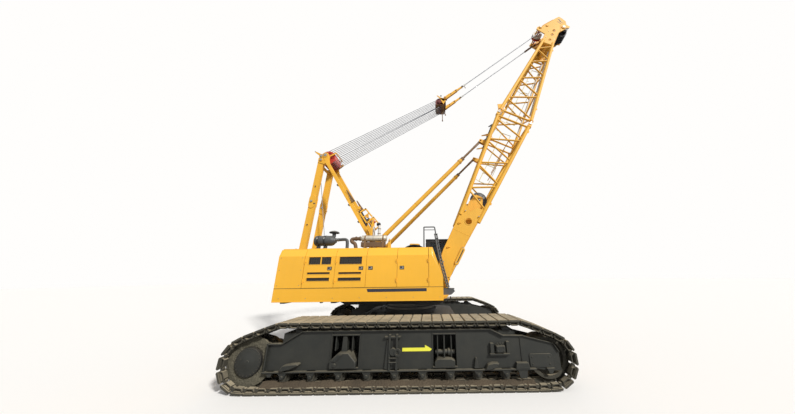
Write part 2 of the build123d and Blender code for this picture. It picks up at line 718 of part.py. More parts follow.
# ================================ gantry ================================
rear_legs, front_legs = [], []
for side in (-1, 1):
    for feet, foot, top, y, section in (
            (rear_legs, rear_foot, rear_leg_top, rear_leg_y, rear_leg_section),
            (front_legs, front_foot, front_leg_top, front_leg_y, front_leg_section)):
        y0, y1 = sorted((side * (y - section[1] / 2), side * (y + section[1] / 2)))
        leg = bar(foot, top, section[0], y0, y1, 0, 0)
        leg += disc(foot[0], foot[1], section[0] / 2, y0, y1)
        pins = sorted((side * (y - section[1] / 2 - 3 - leg_lug),
                       side * (y + section[1] / 2 + 3 + leg_lug)))
        leg += disc(foot[0], foot[1], leg_pin_radius, *pins)
        feet.append(leg)
head_plate = [(-3860, 6960), (-3860, 7140), (-3700, 7330), (-3640, 7400), (-3500, 7400),
              (-3450, 7300), (-3370, 6900), (-3480, 6840)]
head = []
for side in (-1, 1):
    y0, y1 = sorted((side * (rear_leg_y + rear_leg_section[1] / 2 - 40),
                     side * (rear_leg_y + rear_leg_section[1] / 2 + 20)))
    head.append(slab(head_plate, y0, y1))
head.append(disc(-3790, 6880, 60, -rear_leg_y - 60, rear_leg_y + 60))
head = fused(*head) - disc(*gantry_head, sheave_shaft + pin_clear, -700, 700)
add("gantry", head, *[leg - head for leg in rear_legs + front_legs])


def sheave_row(x, z, radius, groove, count, pitch, width, shaft, shaft_half):
    """Grooved wheels side by side on one shaft."""
    row = disc(x, z, shaft, -shaft_half, shaft_half)
    for i in range(count):
        y = (i - (count - 1) / 2) * pitch
        wheel = disc(x, z, radius, y - width / 2, y + width / 2)
        wheel -= ring(x, z, radius + 5, groove, y - width * 0.2, y + width * 0.2)
        row += wheel
    return row


gantry_row_half = rear_leg_y + rear_leg_section[1] / 2 + 20
add("gantry_sheaves", sheave_row(*gantry_head, gantry_sheave_radius, gantry_sheave_radius - 35,
                                 gantry_sheave_count, 105, 80, sheave_shaft,
                                 gantry_row_half))

# ================================= boom =================================
angle = radians(boom_angle)
along = (cos(angle), sin(angle))
across_up = (-sin(angle), cos(angle))


def on_boom(s, n):
    """(x, z) of a point s along the boom from the foot pin and n behind its axis."""
    return (foot_x + s * along[0] + n * across_up[0], foot_z + s * along[1] + n * across_up[1])


def boom_point(s, n, y):
    x, z = on_boom(s, n)
    return (x, y, z)


def half_depth(s):
    if s <= splice_s:
        t = (splice_s - s) / (splice_s - plate_end_s)
        return boom_depth / 2 + (plate_depth / 2 - boom_depth / 2) * t
    t = min((s - splice_s) / (upper_end_s - splice_s), 1.0)
    return boom_depth / 2 + (upper_end_depth / 2 - boom_depth / 2) * t


def half_width(s):
    if s <= splice_s:
        return boom_half
    t = min((s - splice_s) / (upper_end_s - splice_s), 1.0)
    return boom_half + (upper_end_width / 2 - boom_half) * t


def boom_slab(outline, y0, y1):
    return slab([on_boom(s, n) for s, n in outline], y0, y1)


def chord(s0, s1, face, side):
    """Main tube; face 1 is the rear face and -1 the front, side -1 is the right."""
    return rod(boom_point(s0, face * half_depth(s0), side * half_width(s0)),
               boom_point(s1, face * half_depth(s1), side * half_width(s1)), chord_radius)


def corner(s, face, side):
    return boom_point(s, face * half_depth(s), side * half_width(s))


def zigzag(first, last, bays, ratio):
    """Stations of the lacing, alternately on the front and the rear chord."""
    count = round(bays * 2)
    steps = [ratio ** i for i in range(count)]
    scale = (last - first) / sum(steps)
    return [first + scale * sum(steps[:i]) for i in range(count + 1)]


trusses = {}


def lattice(name, s0, s1, stations, closed):
    """Two side trusses and the lacing of the rear and front faces of one section.

    The first station is on the front chord; closed lists the ends with a square frame.
    """
    chords = [chord(s0, s1, face, side) for face in (-1, 1) for side in (-1, 1)]
    ends = [s0 + frame_radius if end == "foot" else s1 - frame_radius for end in closed]
    for side, word in ((-1, "right"), (1, "left")):
        pair = [chord(s0, s1, 1, side), chord(s0, s1, -1, side)]
        lacing = [rod(corner(s, 1, side), corner(s, -1, side), frame_radius) for s in ends]
        for i, (a, b) in enumerate(zip(stations, stations[1:])):
            face = 1 if i % 2 else -1
            lacing.append(rod(corner(a + 55, face, side), corner(b - 55, -face, side),
                              brace_radius))
        trusses[name, side] = pair + [tube - pair[0] - pair[1] for tube in lacing]
        add(f"{name}_{word}_truss", *trusses[name, side])
    braces = []
    for face in (-1, 1):
        braces += [(corner(s, face, -1), corner(s, face, 1), frame_radius) for s in ends]
        own = stations[::2] if face < 0 else stations[1::2]
        for i, (a, b) in enumerate(zip(own, own[1:])):
            side = 1 if i % 2 else -1
            braces.append((corner(a + 95, face, side), corner(b - 95, face, -side), brace_radius))
    solids = []
    for a, b, radius in braces:
        piece = rod(a, b, radius)
        for tube in chords:
            piece -= tube
        solids.append(max(piece.solids(), key=lambda item: item.volume))
    parts[f"{name}_cross_bracing"] = solids


lower_start = plate_end_s - 500
lower_end = splice_s - splice_half
upper_start = splice_s + splice_half
lower_stations = zigzag(plate_end_s, lower_end - 150, lower_bays, 1.0)
backstop_pin = (lower_stations[1::2][backstop_bay], backstop_pin_n)
lattice("boom_lower", lower_start, lower_end, lower_stations, ["head"])
lattice("boom_upper", upper_start, upper_end_s,
        zigzag(upper_start + 100, upper_end_s - 100, upper_bays, upper_bay_ratio),
        ["foot", "head"])

# plated foot: two side plates, the cross plate between them and the winch bearings
foot_outline = [(-60, -110), (-110, 0), (-60, 110), (500, 300), (1000, 370),
                (plate_end_s, plate_depth / 2), (plate_end_s - 250, 60), (plate_end_s, -120),
                (plate_end_s, -plate_depth / 2), (1400, -260), (500, -190)]
foot = []
for side in (-1, 1):
    y0, y1 = sorted((side * (boom_half - foot_plate / 2), side * (boom_half + foot_plate / 2)))
    plate = boom_slab(foot_outline, y0, y1)
    plate -= rod(boom_point(2290, -20, y0 - 1), boom_point(2290, -20, y1 + 1), 120)
    for tube in trusses["boom_lower", side]:
        plate -= tube
    foot.append(plate + rod(boom_point(0, 0, y0 - 4), boom_point(0, 0, y1 + 4), 110))
pin_reach = boom_half + lug_gap + lug_plate
foot_pins = [rod(boom_point(0, 0, side * (boom_half - lug_gap - lug_plate)),
                 boom_point(0, 0, side * pin_reach), foot_pin_radius) for side in (-1, 1)]
cross_box = boom_slab([(900, -180), (900, 300), (1500, 320), (1500, -200)],
                      -boom_half + foot_plate / 2 - 1, boom_half - foot_plate / 2 + 1)
cross_box -= boom_slab([(920, -160), (920, 280), (1480, 300), (1480, -180)], -5000, 5000)
bearing_half = 640.0
bearings = []
for side in (-1, 1):
    y0, y1 = sorted((side * bearing_half, side * (bearing_half + 30)))
    bearing = boom_slab([(1400, -150), (1400, 200), (boom_winch[0] - 200, 250),
                         (boom_winch[0] + 160, 120), (boom_winch[0] + 160, -160),
                         (boom_winch[0] - 200, -300)], y0, y1)
    bearing -= rod(boom_point(*boom_winch, y0 - 1), boom_point(*boom_winch, y1 + 1),
                   winch_shaft + pin_clear)
    bearings.append(bearing)
foot = [plate + pin for plate, pin in zip(foot, foot_pins)]
add("boom_foot", welded(foot + [cross_box] + bearings))
drum_half = bearing_half - winch_side_gap
wx, wz = on_boom(*boom_winch)
drum = fused(disc(wx, wz, 200, -drum_half, drum_half), disc(wx, wz, 330, -drum_half, -drum_half + 30),
             disc(wx, wz, 330, drum_half - 30, drum_half),
             disc(wx, wz, winch_shaft, -bearing_half - 30, bearing_half + 30))
add("boom_winch_drum", drum)

# splice: fork ends on the lower section, tongues on the upper one, a pin through each
splices = []
for side in (-1, 1):
    for face in (-1, 1):
        n, y = face * half_depth(splice_s), side * half_width(splice_s)
        s0, s1 = splice_s - splice_half, splice_s + splice_half
        tongue = boom_slab([(s0 + 40, n - 60), (s1, n - 75), (s1, n + 75), (s0 + 40, n + 60)],
                           y - 22, y + 22)
        for ears in (-1, 1):
            y0, y1 = sorted((y + ears * 22.3, y + ears * 60))
            tongue += boom_slab([(s0, n - 75), (s1 - 40, n - 60), (s1 - 40, n + 60),
                                 (s0, n + 75)], y0, y1)
        tongue += rod(boom_point(splice_s, n, y - 75), boom_point(splice_s, n, y + 75), 34)
        tongue -= chord(lower_start, lower_end, face, side)
        tongue -= chord(upper_start, upper_end_s, face, side)
        splices.append(tongue)
add("boom_splice_joints", *splices)

# boom head: two shaped side plates, cross tubes and the pins of the sheaves
stub_step = 12.0             # the head's stubs are this much slimmer than the chords
head_half = upper_end_width / 2 - 60
head_outline = [(upper_end_s, -upper_end_depth / 2 - 60), (upper_end_s, upper_end_depth / 2 + 40),
                (13300, 330), (13440, 810), (13600, 810), (13720, 640), (13900, 560),
                (14400, 270), (14690, 100), (tip_s, 20), (tip_s - 50, -145), (14615, -400),
                (14400, -490), (14340, -700), (14230, -690), (14190, -560), (14050, -520),
                (13860, -390), (13700, -310)]
head_parts = []
for side in (-1, 1):
    y0, y1 = sorted((side * (head_half - 40), side * head_half))
    plate = boom_slab(head_outline, y0, y1)
    for s in (13010, 13410, 13730):
        plate -= rod(boom_point(s, -40, y0 - 1), boom_point(s, -40, y1 + 1), 60)
    for point, radius in ((head_sheave, sheave_shaft), (idler_sheave, 40)):
        plate -= rod(boom_point(*point, y0 - 1), boom_point(*point, y1 + 1), radius + pin_clear)
    head_parts.append(plate)
for s, n, radius in ((12750, 0, 60), (14450, 60, 55), (13210, 40, 60)):
    head_parts.append(rod(boom_point(s, n, -head_half + 20), boom_point(s, n, head_half - 20), radius))
for side in (-1, 1):
    for face in (-1, 1):
        stub = rod(boom_point(upper_end_s, face * upper_end_depth / 2, side * (head_half + 30)),
                   boom_point(upper_end_s + 250, face * upper_end_depth / 2 * 0.9,
                              side * (head_half - 15)), chord_radius - stub_step)
        head_parts.append(stub)
    # pendant lug: a fork inside the head plate
    for a in (30, -60):
        y0, y1 = sorted((side * (pendant_y + a), side * (pendant_y + a + 30)))
        s, n = pendant_pin
        head_parts.append(boom_slab([(s - 700, 35), (s - 690, 90), (s - 80, n - 60),
                                     (s - 60, n + 90), (s + 60, n + 90), (s + 90, n - 60),
                                     (s + 550, 100), (s + 550, 35)], y0, y1))
        head_parts[-1] -= rod(boom_point(s, n, y0 - 1), boom_point(s, n, y1 + 1), pendant_pin_radius)
upper_tubes = trusses["boom_upper", -1] + trusses["boom_upper", 1]
upper_tubes += parts["boom_upper_cross_bracing"]
boom_head = []
for piece in head_parts:
    for tube in upper_tubes:
        if boxes_meet(piece, tube):
            piece = piece - tube
    boom_head.append(piece)
add("boom_head", welded(boom_head))
hx, hz = on_boom(*head_sheave)
add("head_sheaves", sheave_row(hx, hz, 290, 250, 4, 110, 80, sheave_shaft, head_half))
ix, iz = on_boom(*idler_sheave)
add("idler_sheaves", sheave_row(ix, iz, 240, 205, 2, 120, 80, 40, head_half))

# backstop clevises on a cross tube of the lower section's rear face
clevis = []
s, n = backstop_pin
base_n = half_depth(s)
cross = rod(boom_point(s, base_n, -half_width(s)), boom_point(s, base_n, half_width(s)), 50)
for side in (-1, 1):
    cross -= chord(plate_end_s, splice_s, 1, side)
cross = max(cross.solids(), key=lambda item: item.volume)
for side in (-1, 1):
    for a in (38, -38 - clevis_ear):
        y0, y1 = sorted((side * (backstop_y + a), side * (backstop_y + a + clevis_ear)))
        ear = boom_slab([(s - 110, base_n), (s - 60, n + 60), (s + 60, n + 60),
                         (s + 110, base_n)], y0, y1)
        cross += ear - disc(*on_boom(s, n), 35, y0 - 1, y1 + 1)
add("backstop_clevises", cross)

# ============================ luffing tackle ============================
tackle_angle = atan2(bridle_axis[1] - gantry_head[1], bridle_axis[0] - gantry_head[0])
guard = []
for side in (-1, 1):
    y0, y1 = sorted((side * 330, side * 350))
    guard.append(ring(*gantry_head, 110, sheave_shaft + pin_clear, y0, y1))
    reach = (gantry_head[0] + 400 * cos(tackle_angle), gantry_head[1] + 400 * sin(tackle_angle))
    guard.append(bar(gantry_head, reach, 60, y0, y1, -100, 0))
guard.append(rod((reach[0], -350, reach[1]), (reach[0], 350, reach[1]), 25))
add("rope_guard", fused(*guard))

block = []
for side in (-1, 1):
    y0, y1 = sorted((side * 290, side * 315))
    cheek = bar(bridle_axis, bridle_hinge, 190, y0, y1, 90, 60)
    cheek -= disc(*bridle_axis, 40 + pin_clear, y0 - 1, y1 + 1)
    block.append(cheek)
block.append(disc(bridle_hinge[0], bridle_hinge[1], 35, -420, 420))
add("bridle_block", fused(*block))
add("bridle_sheaves", sheave_row(*bridle_axis, bridle_sheave_radius, bridle_sheave_radius - 30,
                                 6, 92, 74, 40, 315))
px, pz = on_boom(*pendant_pin)
pendant_top = (px, pz)
links = []
for side in (-1, 1):
    y = side * pendant_y
    link_end = (bridle_hinge[0] + 0.16 * (px - bridle_hinge[0]),
                bridle_hinge[1] + 0.15 * (pz - bridle_hinge[1]))
    y0, y1 = sorted((y + side * 5, y + side * 40))
    link = bar(bridle_hinge, link_end, 110, y0, y1, 60, 60)
    link -= disc(*bridle_hinge, 35.06, y0 - 1, y1 + 1)
    start = (link_end[0], y, link_end[1])
    full = hypot(px - link_end[0], pz - link_end[1])
    stop = full - 330
    vx, vz = (px - link_end[0]) / full, (pz - link_end[1]) / full
    end = (link_end[0] + vx * stop, y, link_end[1] + vz * stop)
    rope = rod(start, end, pendant_radius)
    socket = rod((link_end[0], y, link_end[1]),
                 (link_end[0] + vx * 300, y, link_end[1] + vz * 300), 45)
    top_socket = rod((end[0] - vx * 300, y, end[2] - vz * 300), end, 45)
    eye = bar((end[0] - vx * 20, end[2] - vz * 20), pendant_top, 100, y - 29.7, y + 29.7, 0, 45)
    link += disc(link_end[0], link_end[1], 60, *sorted((y - side * 20, y + side * 40)))
    links.append(fused(link, rope, socket, top_socket, eye))
add("pendants", *links)

# =============================== backstops ===============================
bx, bz = on_boom(*backstop_pin)
full = hypot(bx - backstop_foot[0], bz - backstop_foot[1])
vx, vz = (bx - backstop_foot[0]) / full, (bz - backstop_foot[1]) / full
tubes, rods = [], []


def on_stop(distance, y):
    return (backstop_foot[0] + vx * distance, y, backstop_foot[1] + vz * distance)


for side in (-1, 1):
    y = side * backstop_y
    tube = rod(on_stop(150, y), on_stop(tube_reach, y), tube_radius)
    tube -= rod(on_stop(400, y), on_stop(tube_reach + 10, y), rod_radius + 6)
    tube += bar(backstop_foot, (on_stop(300, y)[0], on_stop(300, y)[2]), 120, y - 40, y + 40, 60, 0)
    tube -= disc(*backstop_foot, backstop_pin_radius + pin_clear, y - 60, y + 60)
    tubes.append(tube)
    rod_end = full - rod_eye_length
    inner = rod(on_stop(tube_reach - rod_inside, y), on_stop(rod_end, y), rod_radius)
    eye = bar((on_stop(rod_end - 60, y)[0], on_stop(rod_end - 60, y)[2]), (bx, bz), 90, y - 30,
              y + 30, 0, 45)
    eye += disc(bx, bz, 45, y - 37.7, y + 37.7)
    inner += eye
    # the rod's guide ring runs in the tube
    inner += rod(on_stop(tube_reach - rod_inside, y), on_stop(tube_reach - rod_inside + 120, y),
                 rod_radius + 5.7)
    rods.append(inner)
add("backstop_tubes", *tubes)
add("backstop_rods", *rods)

# ================================= cab =================================
cab_outline = [(cab_rear, cab_floor), (cab_rear, cab_roof), (1980, cab_roof), (2120, 3300),
               (1560, 2250), (1500, cab_floor)]


def inset(outline, wall):
    """Outline moved inwards by a wall thickness."""
    moved = []
    count = len(outline)
    for i in range(count):
        (x0, z0), (x1, z1), (x2, z2) = outline[i - 1], outline[i], outline[(i + 1) % count]
        a = ((x1 - x0), (z1 - z0))
        b = ((x2 - x1), (z2 - z1))
        la, lb = hypot(*a), hypot(*b)
        na = (a[1] / la, -a[0] / la)
        nb = (b[1] / lb, -b[0] / lb)
        scale = wall / (1 + na[0] * nb[0] + na[1] * nb[1])
        moved.append((x1 + (na[0] + nb[0]) * scale, z1 + (na[1] + nb[1]) * scale))
    return moved


cab = slab(cab_outline, cab_inner, cab_outer)
cab -= slab(inset(cab_outline, cab_wall), cab_inner + cab_wall, cab_outer - cab_wall)
# windows: front glass, side glass, rear glass and the door's opening
door_x0, door_x1 = 800.0, 1440.0
cab -= box(door_x0, door_x1, cab_outer - 100, cab_outer + 10, cab_floor + 60, cab_roof - 120)
cab -= box(760, 1880, cab_inner - 10, cab_inner + 100, 2950, cab_roof - 130)
cab -= slab([(1700, 3860), (2400, 3860), (2400, 2420), (1700, 2420)], cab_inner + 80, cab_outer - 80)
cab -= box(cab_rear - 10, cab_rear + 100, cab_inner + 120, cab_outer - 120, 2950, cab_roof - 130)
cab -= box(1560, 1840, cab_outer - 100, cab_outer + 10, 2950, cab_roof - 130)
door_axis = (door_x0 - 52, cab_outer + 32)
door_tabs = []
for z in (2300.0, 3500.0):
    cab += upright(*door_axis, hinge_pin_radius, z - knuckle_half, z + knuckle_half)
    for z0, z1 in ((z - knuckle_half, z - 20), (z + 20, z + knuckle_half)):
        cab += upright(*door_axis, knuckle_radius, z0, z1)
        cab += box(door_axis[0] - 8, door_axis[0] + 8, cab_outer - 1, door_axis[1], z0, z1)
    tab = upright(*door_axis, knuckle_radius, z - 19.7, z + 19.7)
    tab += box(door_axis[0], door_x0 - 25, door_axis[1] - 6, door_axis[1] + 6, z - 19.7, z + 19.7)
    door_tabs.append(tab - upright(*door_axis, hinge_pin_radius + pin_clear, z - 30, z + 30))
add("cab_shell", cab)
front_inset = inset(cab_outline, 15.0)
front_back = inset(cab_outline, 15.0 + glass_thickness)
panes = slab([front_inset[2], front_inset[3], front_inset[4], front_back[4], front_back[3],
              front_back[2]], cab_inner + 80.3, cab_outer - 80.3)
panes = panes & box(1000, 2400, cab_inner, cab_outer, 2420.5, 3859.5)
side_pane = box(760.3, 1879.7, cab_inner + 15, cab_inner + 15 + glass_thickness, 2950.3,
                cab_roof - 130.3)
rear_pane = box(cab_rear + 15, cab_rear + 15 + glass_thickness, cab_inner + 120.3,
                cab_outer - 120.3, 2950.3, cab_roof - 130.3)
outer_pane = box(1560.3, 1839.7, cab_outer - 15 - glass_thickness, cab_outer - 15, 2950.3,
                 cab_roof - 130.3)
outer_pane = outer_pane & slab(inset(cab_outline, 10), cab_inner, cab_outer)
panes -= cab
add("cab_glass", panes, side_pane, rear_pane, outer_pane)
cab_door = box(door_x0 - 30, door_x1 + 30, cab_outer + 6, cab_outer + 46, cab_floor + 30, cab_roof - 90)
cab_door -= box(door_x0 + 60, door_x1 - 60, cab_outer, cab_outer + 60, 2700, cab_roof - 220)
cab_door_glass = box(door_x0 + 60.3, door_x1 - 60.3, cab_outer + 20, cab_outer + 28, 2700.3,
                     cab_roof - 220.3)
add("cab_door", fused(cab_door, *door_tabs))
add("cab_door_glass", cab_door_glass)
seat = box(820, 1300, 1400, 1860, 2430, 2540)
seat += box(820, 920, 1400, 1860, 2540, 3150)
seat += box(950, 1150, 1530, 1730, cab_floor + cab_wall, 2430)
add("operator_seat", seat)
consoles = box(980, 1420, 1310, 1390, 2100, 2640)
consoles += box(980, 1420, 1310, 1390, cab_floor + cab_wall, 2100)
consoles += box(1400, 1440, 1300, 1900, cab_floor + cab_wall, 2200)
add("cab_console", consoles)
bracket = box(420, 1500, boom_half + lug_gap + lug_plate, cab_outer, cab_floor - 160, cab_floor)
bracket += box(wing_start, 420, boom_half + lug_gap + lug_plate, cab_outer, cab_floor - 160,
               cab_floor - 100)
add("cab_platform", bracket)

# right-hand step platform and handrail at the front wing
step = box(wing_front + 0.3, 1500, -1300, -1150, 1790, 1990)
step += box(wing_front + 0.3, wing_front + 20, -1500, -1150, 1700, 1990)

rail_x = (530.0, 890.0)
rail_y = -1220.0
rail = rod((rail_x[0], rail_y, house_top), (rail_x[0], rail_y, 4000), 20)
rail += rod((rail_x[0], rail_y, 4000), (rail_x[1], rail_y, 4000), 20)
rail += rod((rail_x[1], rail_y, 4000), (1290, rail_y, 1980), 20)
add("boarding_ladder", fused(step, rail))

os.makedirs("parts", exist_ok=True)
for name, solids in parts.items():
    shape = solids[0] if len(solids) == 1 else Compound(children=solids)
    export_step(shape, f"parts/{name}.step")
    print(name, len(solids))
print("pendant pin", pendant_top, "backstop pin", (bx, bz), "reach", full)
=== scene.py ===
import math
import random

import bmesh
import bpy
from mathutils import Matrix, Vector


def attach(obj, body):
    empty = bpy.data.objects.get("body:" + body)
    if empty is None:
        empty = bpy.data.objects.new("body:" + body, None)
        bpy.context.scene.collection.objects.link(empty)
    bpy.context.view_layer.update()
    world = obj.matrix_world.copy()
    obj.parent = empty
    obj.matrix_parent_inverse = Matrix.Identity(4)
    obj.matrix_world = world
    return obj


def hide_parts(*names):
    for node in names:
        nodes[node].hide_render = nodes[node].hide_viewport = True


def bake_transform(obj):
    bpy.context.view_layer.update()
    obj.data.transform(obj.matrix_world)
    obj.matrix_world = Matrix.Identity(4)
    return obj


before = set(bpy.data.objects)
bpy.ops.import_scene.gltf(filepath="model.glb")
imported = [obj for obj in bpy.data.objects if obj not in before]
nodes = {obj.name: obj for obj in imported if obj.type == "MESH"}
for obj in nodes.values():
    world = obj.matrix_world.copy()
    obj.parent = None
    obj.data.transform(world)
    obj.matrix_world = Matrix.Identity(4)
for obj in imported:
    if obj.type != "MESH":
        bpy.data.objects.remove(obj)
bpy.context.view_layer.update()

scene = bpy.context.scene
rand = random.Random(7)
print("frame loaded,", len(nodes), "nodes")

# shader groups that several finishes share


def newGroup(name, inputs, outputs):
    group = bpy.data.node_groups.new(name, "ShaderNodeTree")
    for label, kind, value in inputs:
        socket = group.interface.new_socket(name=label, in_out="INPUT", socket_type="NodeSocket" + kind)
        socket.default_value = value
    for label, kind in outputs:
        group.interface.new_socket(name=label, in_out="OUTPUT", socket_type="NodeSocket" + kind)
    return group, group.nodes.new("NodeGroupInput"), group.nodes.new("NodeGroupOutput")


def addNode(tree, kind, values=None, **settings):
    node = tree.nodes.new("ShaderNode" + kind)
    for key, value in settings.items():
        setattr(node, key, value)
    for key, value in (values or {}).items():
        node.inputs[key].default_value = value
    return node


def mathNode(tree, operation, first, second=None, clamp=False):
    node = addNode(tree, "Math", operation=operation, use_clamp=clamp)
    for socket, value in zip(node.inputs, (first, second)):
        if isinstance(value, bpy.types.NodeSocket):
            tree.links.new(value, socket)
        elif value is not None:
            socket.default_value = value
    return node.outputs[0]


def mixColour(tree, factor, first, second):
    node = addNode(tree, "Mix", data_type="RGBA", blend_type="MIX")
    for socket, value in ((node.inputs[0], factor), (node.inputs[6], first), (node.inputs[7], second)):
        if isinstance(value, bpy.types.NodeSocket):
            tree.links.new(value, socket)
        else:
            socket.default_value = value
    return node.outputs[2]


def rangeNode(tree, value, low, high, toLow=0.0, toHigh=1.0):
    node = addNode(tree, "MapRange", {1: low, 2: high, 3: toLow, 4: toHigh}, clamp=True)
    tree.links.new(value, node.inputs[0])
    return node.outputs[0]


def noiseNode(tree, place, scale, detail=4.0, roughness=0.55, stretch=None):
    node = addNode(tree, "TexNoise", {"Detail": detail, "Roughness": roughness})
    if isinstance(scale, bpy.types.NodeSocket):
        tree.links.new(scale, node.inputs["Scale"])
    else:
        node.inputs["Scale"].default_value = scale
    if stretch:
        mapping = addNode(tree, "Mapping", {"Scale": stretch})
        tree.links.new(place, mapping.inputs["Vector"])
        place = mapping.outputs[0]
    tree.links.new(place, node.inputs["Vector"])
    return node.outputs["Fac"]


def makeDustGroup():    # dust that lies on what faces up, thicker where the noise says
    group, given, out = newGroup("settledDust",
                                 [("Paint", "Color", (1, 1, 1, 1)), ("Dust", "Color", (1, 1, 1, 1)),
                                                 ("Amount", "Float", 0.5), ("Haze", "Float", 0.1)],
                                 [("Color", "Color"), ("Mask", "Float")])
    place = addNode(group, "TexCoord")
    apart = addNode(group, "SeparateXYZ")
    group.links.new(place.outputs["Normal"], apart.inputs[0])
    upward = rangeNode(group, apart.outputs[2], 0.25, 0.95)
    patch = rangeNode(group, noiseNode(group, place.outputs["Object"], 2.6, 6.0, 0.65), 0.30, 0.62)
    fine = rangeNode(group, noiseNode(group, place.outputs["Object"], 34.0, 5.0, 0.7), 0.25, 0.7, 0.55, 1.0)
    share = mathNode(group, "MULTIPLY_ADD", patch, 0.5)
    share.node.inputs[2].default_value = 0.5
    lying = mathNode(group, "MULTIPLY", mathNode(group, "MULTIPLY", upward, given.outputs["Amount"]), share)
    hazed = mathNode(group, "MULTIPLY", given.outputs["Haze"], patch)
    mask = mathNode(group, "MULTIPLY", mathNode(group, "ADD", lying, hazed, clamp=True), fine, clamp=True)
    group.links.new(mixColour(group, mask, given.outputs["Paint"], given.outputs["Dust"]),
                    out.inputs["Color"])
    group.links.new(mask, out.inputs["Mask"])
    return group


def makeWearGroup():    # paint rubbed through along edges
    group, given, out = newGroup("edgeWear", [("Radius", "Float", 0.006), ("Amount", "Float", 0.5)],
                                 [("Mask", "Float")])
    rounded = addNode(group, "Bevel", samples=4)
    group.links.new(given.outputs["Radius"], rounded.inputs["Radius"])
    surface = addNode(group, "NewGeometry")
    dot = addNode(group, "VectorMath", operation="DOT_PRODUCT")
    group.links.new(rounded.outputs[0], dot.inputs[0])
    group.links.new(surface.outputs["Normal"], dot.inputs[1])
    edge = rangeNode(group, dot.outputs["Value"], 0.985, 0.80)
    place = addNode(group, "TexCoord")
    broken = rangeNode(group, noiseNode(group, place.outputs["Object"], 9.0, 8.0, 0.7), 0.42, 0.60)
    group.links.new(mathNode(group, "MULTIPLY", mathNode(group, "MULTIPLY", edge, broken),
                             given.outputs["Amount"], clamp=True),
                    out.inputs["Mask"])
    return group


def makeToneGroup():    # slow fading of a painted surface and its fine texture
    group, given, out = newGroup("paintTone", [("Paint", "Color", (1, 1, 1, 1)), ("Spread", "Float", 0.1),
                                               ("Streak", "Float", 0.2), ("Fine", "Float", 90.0)],
                                 [("Color", "Color"), ("Tone", "Float"), ("Height", "Float")])
    place = addNode(group, "TexCoord").outputs["Object"]
    wide = rangeNode(group, noiseNode(group, place, 0.7, 3.0, 0.5), 0.3, 0.7, -0.5, 0.5)
    runs = rangeNode(group, noiseNode(group, place, 1.0, 5.0, 0.6, (7.0, 7.0, 0.6)), 0.45, 0.75)
    tone = mathNode(group, "MULTIPLY", wide, given.outputs["Spread"])
    dark = mathNode(group, "MULTIPLY", runs, mathNode(group, "MULTIPLY", given.outputs["Streak"], 0.5))
    level = mathNode(group, "SUBTRACT", mathNode(group, "ADD", tone, 1.0), dark)
    scaled = addNode(group, "VectorMath", operation="SCALE")
    group.links.new(given.outputs["Paint"], scaled.inputs[0])
    group.links.new(level, scaled.inputs["Scale"])
    group.links.new(scaled.outputs[0], out.inputs["Color"])
    group.links.new(wide, out.inputs["Tone"])
    group.links.new(noiseNode(group, place, given.outputs["Fine"], 3.0, 0.5), out.inputs["Height"])
    return group


dustGroup, wearGroup, toneGroup = makeDustGroup(), makeWearGroup(), makeToneGroup()


def useGroup(tree, group, values):
    node = tree.nodes.new("ShaderNodeGroup")
    node.node_tree = group
    for key, value in values.items():
        if isinstance(value, bpy.types.NodeSocket):
            tree.links.new(value, node.inputs[key])
        else:
            node.inputs[key].default_value = value
    return node


def rgba(colour):
    return (*colour, 1.0)


dustTone = (0.40, 0.34, 0.235)


def coatedLook(name, colour, roughness=0.5, metallic=0.0, spread=0.12, streak=0.15, fine=90.0, bump=0.02,
               worn=None, wornAmount=0.0, dust=0.0, haze=0.0, dustColour=dustTone, coat=0.0):
    look = bpy.data.materials.new(name)
    look.use_nodes = True
    tree = look.node_tree
    shader = tree.nodes["Principled BSDF"]
    shader.inputs["Metallic"].default_value = metallic
    if coat:
        shader.inputs["Coat Weight"].default_value = coat
        shader.inputs["Coat Roughness"].default_value = 0.18
    tone = useGroup(tree, toneGroup, {"Paint": rgba(colour), "Spread": spread, "Streak": streak,
                                      "Fine": fine})
    shade = tone.outputs["Color"]
    if wornAmount:
        wear = useGroup(tree, wearGroup, {"Radius": 0.008, "Amount": wornAmount})
        shade = mixColour(tree, wear.outputs["Mask"], shade, rgba(worn))
    if dust or haze:
        settled = useGroup(tree, dustGroup,
                           {"Paint": shade, "Dust": rgba(dustColour), "Amount": dust, "Haze": haze})
        shade = settled.outputs["Color"]
        rough = rangeNode(tree, settled.outputs["Mask"], 0.0, 0.6, roughness, 0.92)
    else:
        rough = rangeNode(tree, tone.outputs["Tone"], -0.5, 0.5, roughness * 0.85,
                          min(1.0, roughness * 1.15))
    tree.links.new(shade, shader.inputs["Base Color"])
    tree.links.new(rough, shader.inputs["Roughness"])
    raised = addNode(tree, "Bump", {"Strength": 0.6, "Distance": bump * 0.1})
    tree.links.new(tone.outputs["Height"], raised.inputs["Height"])
    tree.links.new(raised.outputs[0], shader.inputs["Normal"])
    return look


def patternLook(name, colour, second, pattern, roughness=0.6, metallic=0.0, bump=0.3, distance=0.004):
    # pattern is a function of the tree that gives a mask from 0 to 1
    look = bpy.data.materials.new(name)
    look.use_nodes = True
    tree = look.node_tree
    shader = tree.nodes["Principled BSDF"]
    shader.inputs["Metallic"].default_value = metallic
    mask = pattern(tree)
    tone = useGroup(tree, toneGroup, {"Paint": mixColour(tree, mask, rgba(colour), rgba(second)),
                                      "Spread": 0.15,
                                      "Streak": 0.1, "Fine": 120.0})
    tree.links.new(tone.outputs["Color"], shader.inputs["Base Color"])
    tree.links.new(rangeNode(tree, mask, 0.0, 1.0, roughness, min(1.0, roughness + 0.2)),
                   shader.inputs["Roughness"])
    raised = addNode(tree, "Bump", {"Strength": bump, "Distance": distance})
    tree.links.new(mask, raised.inputs["Height"])
    tree.links.new(raised.outputs[0], shader.inputs["Normal"])
    return look


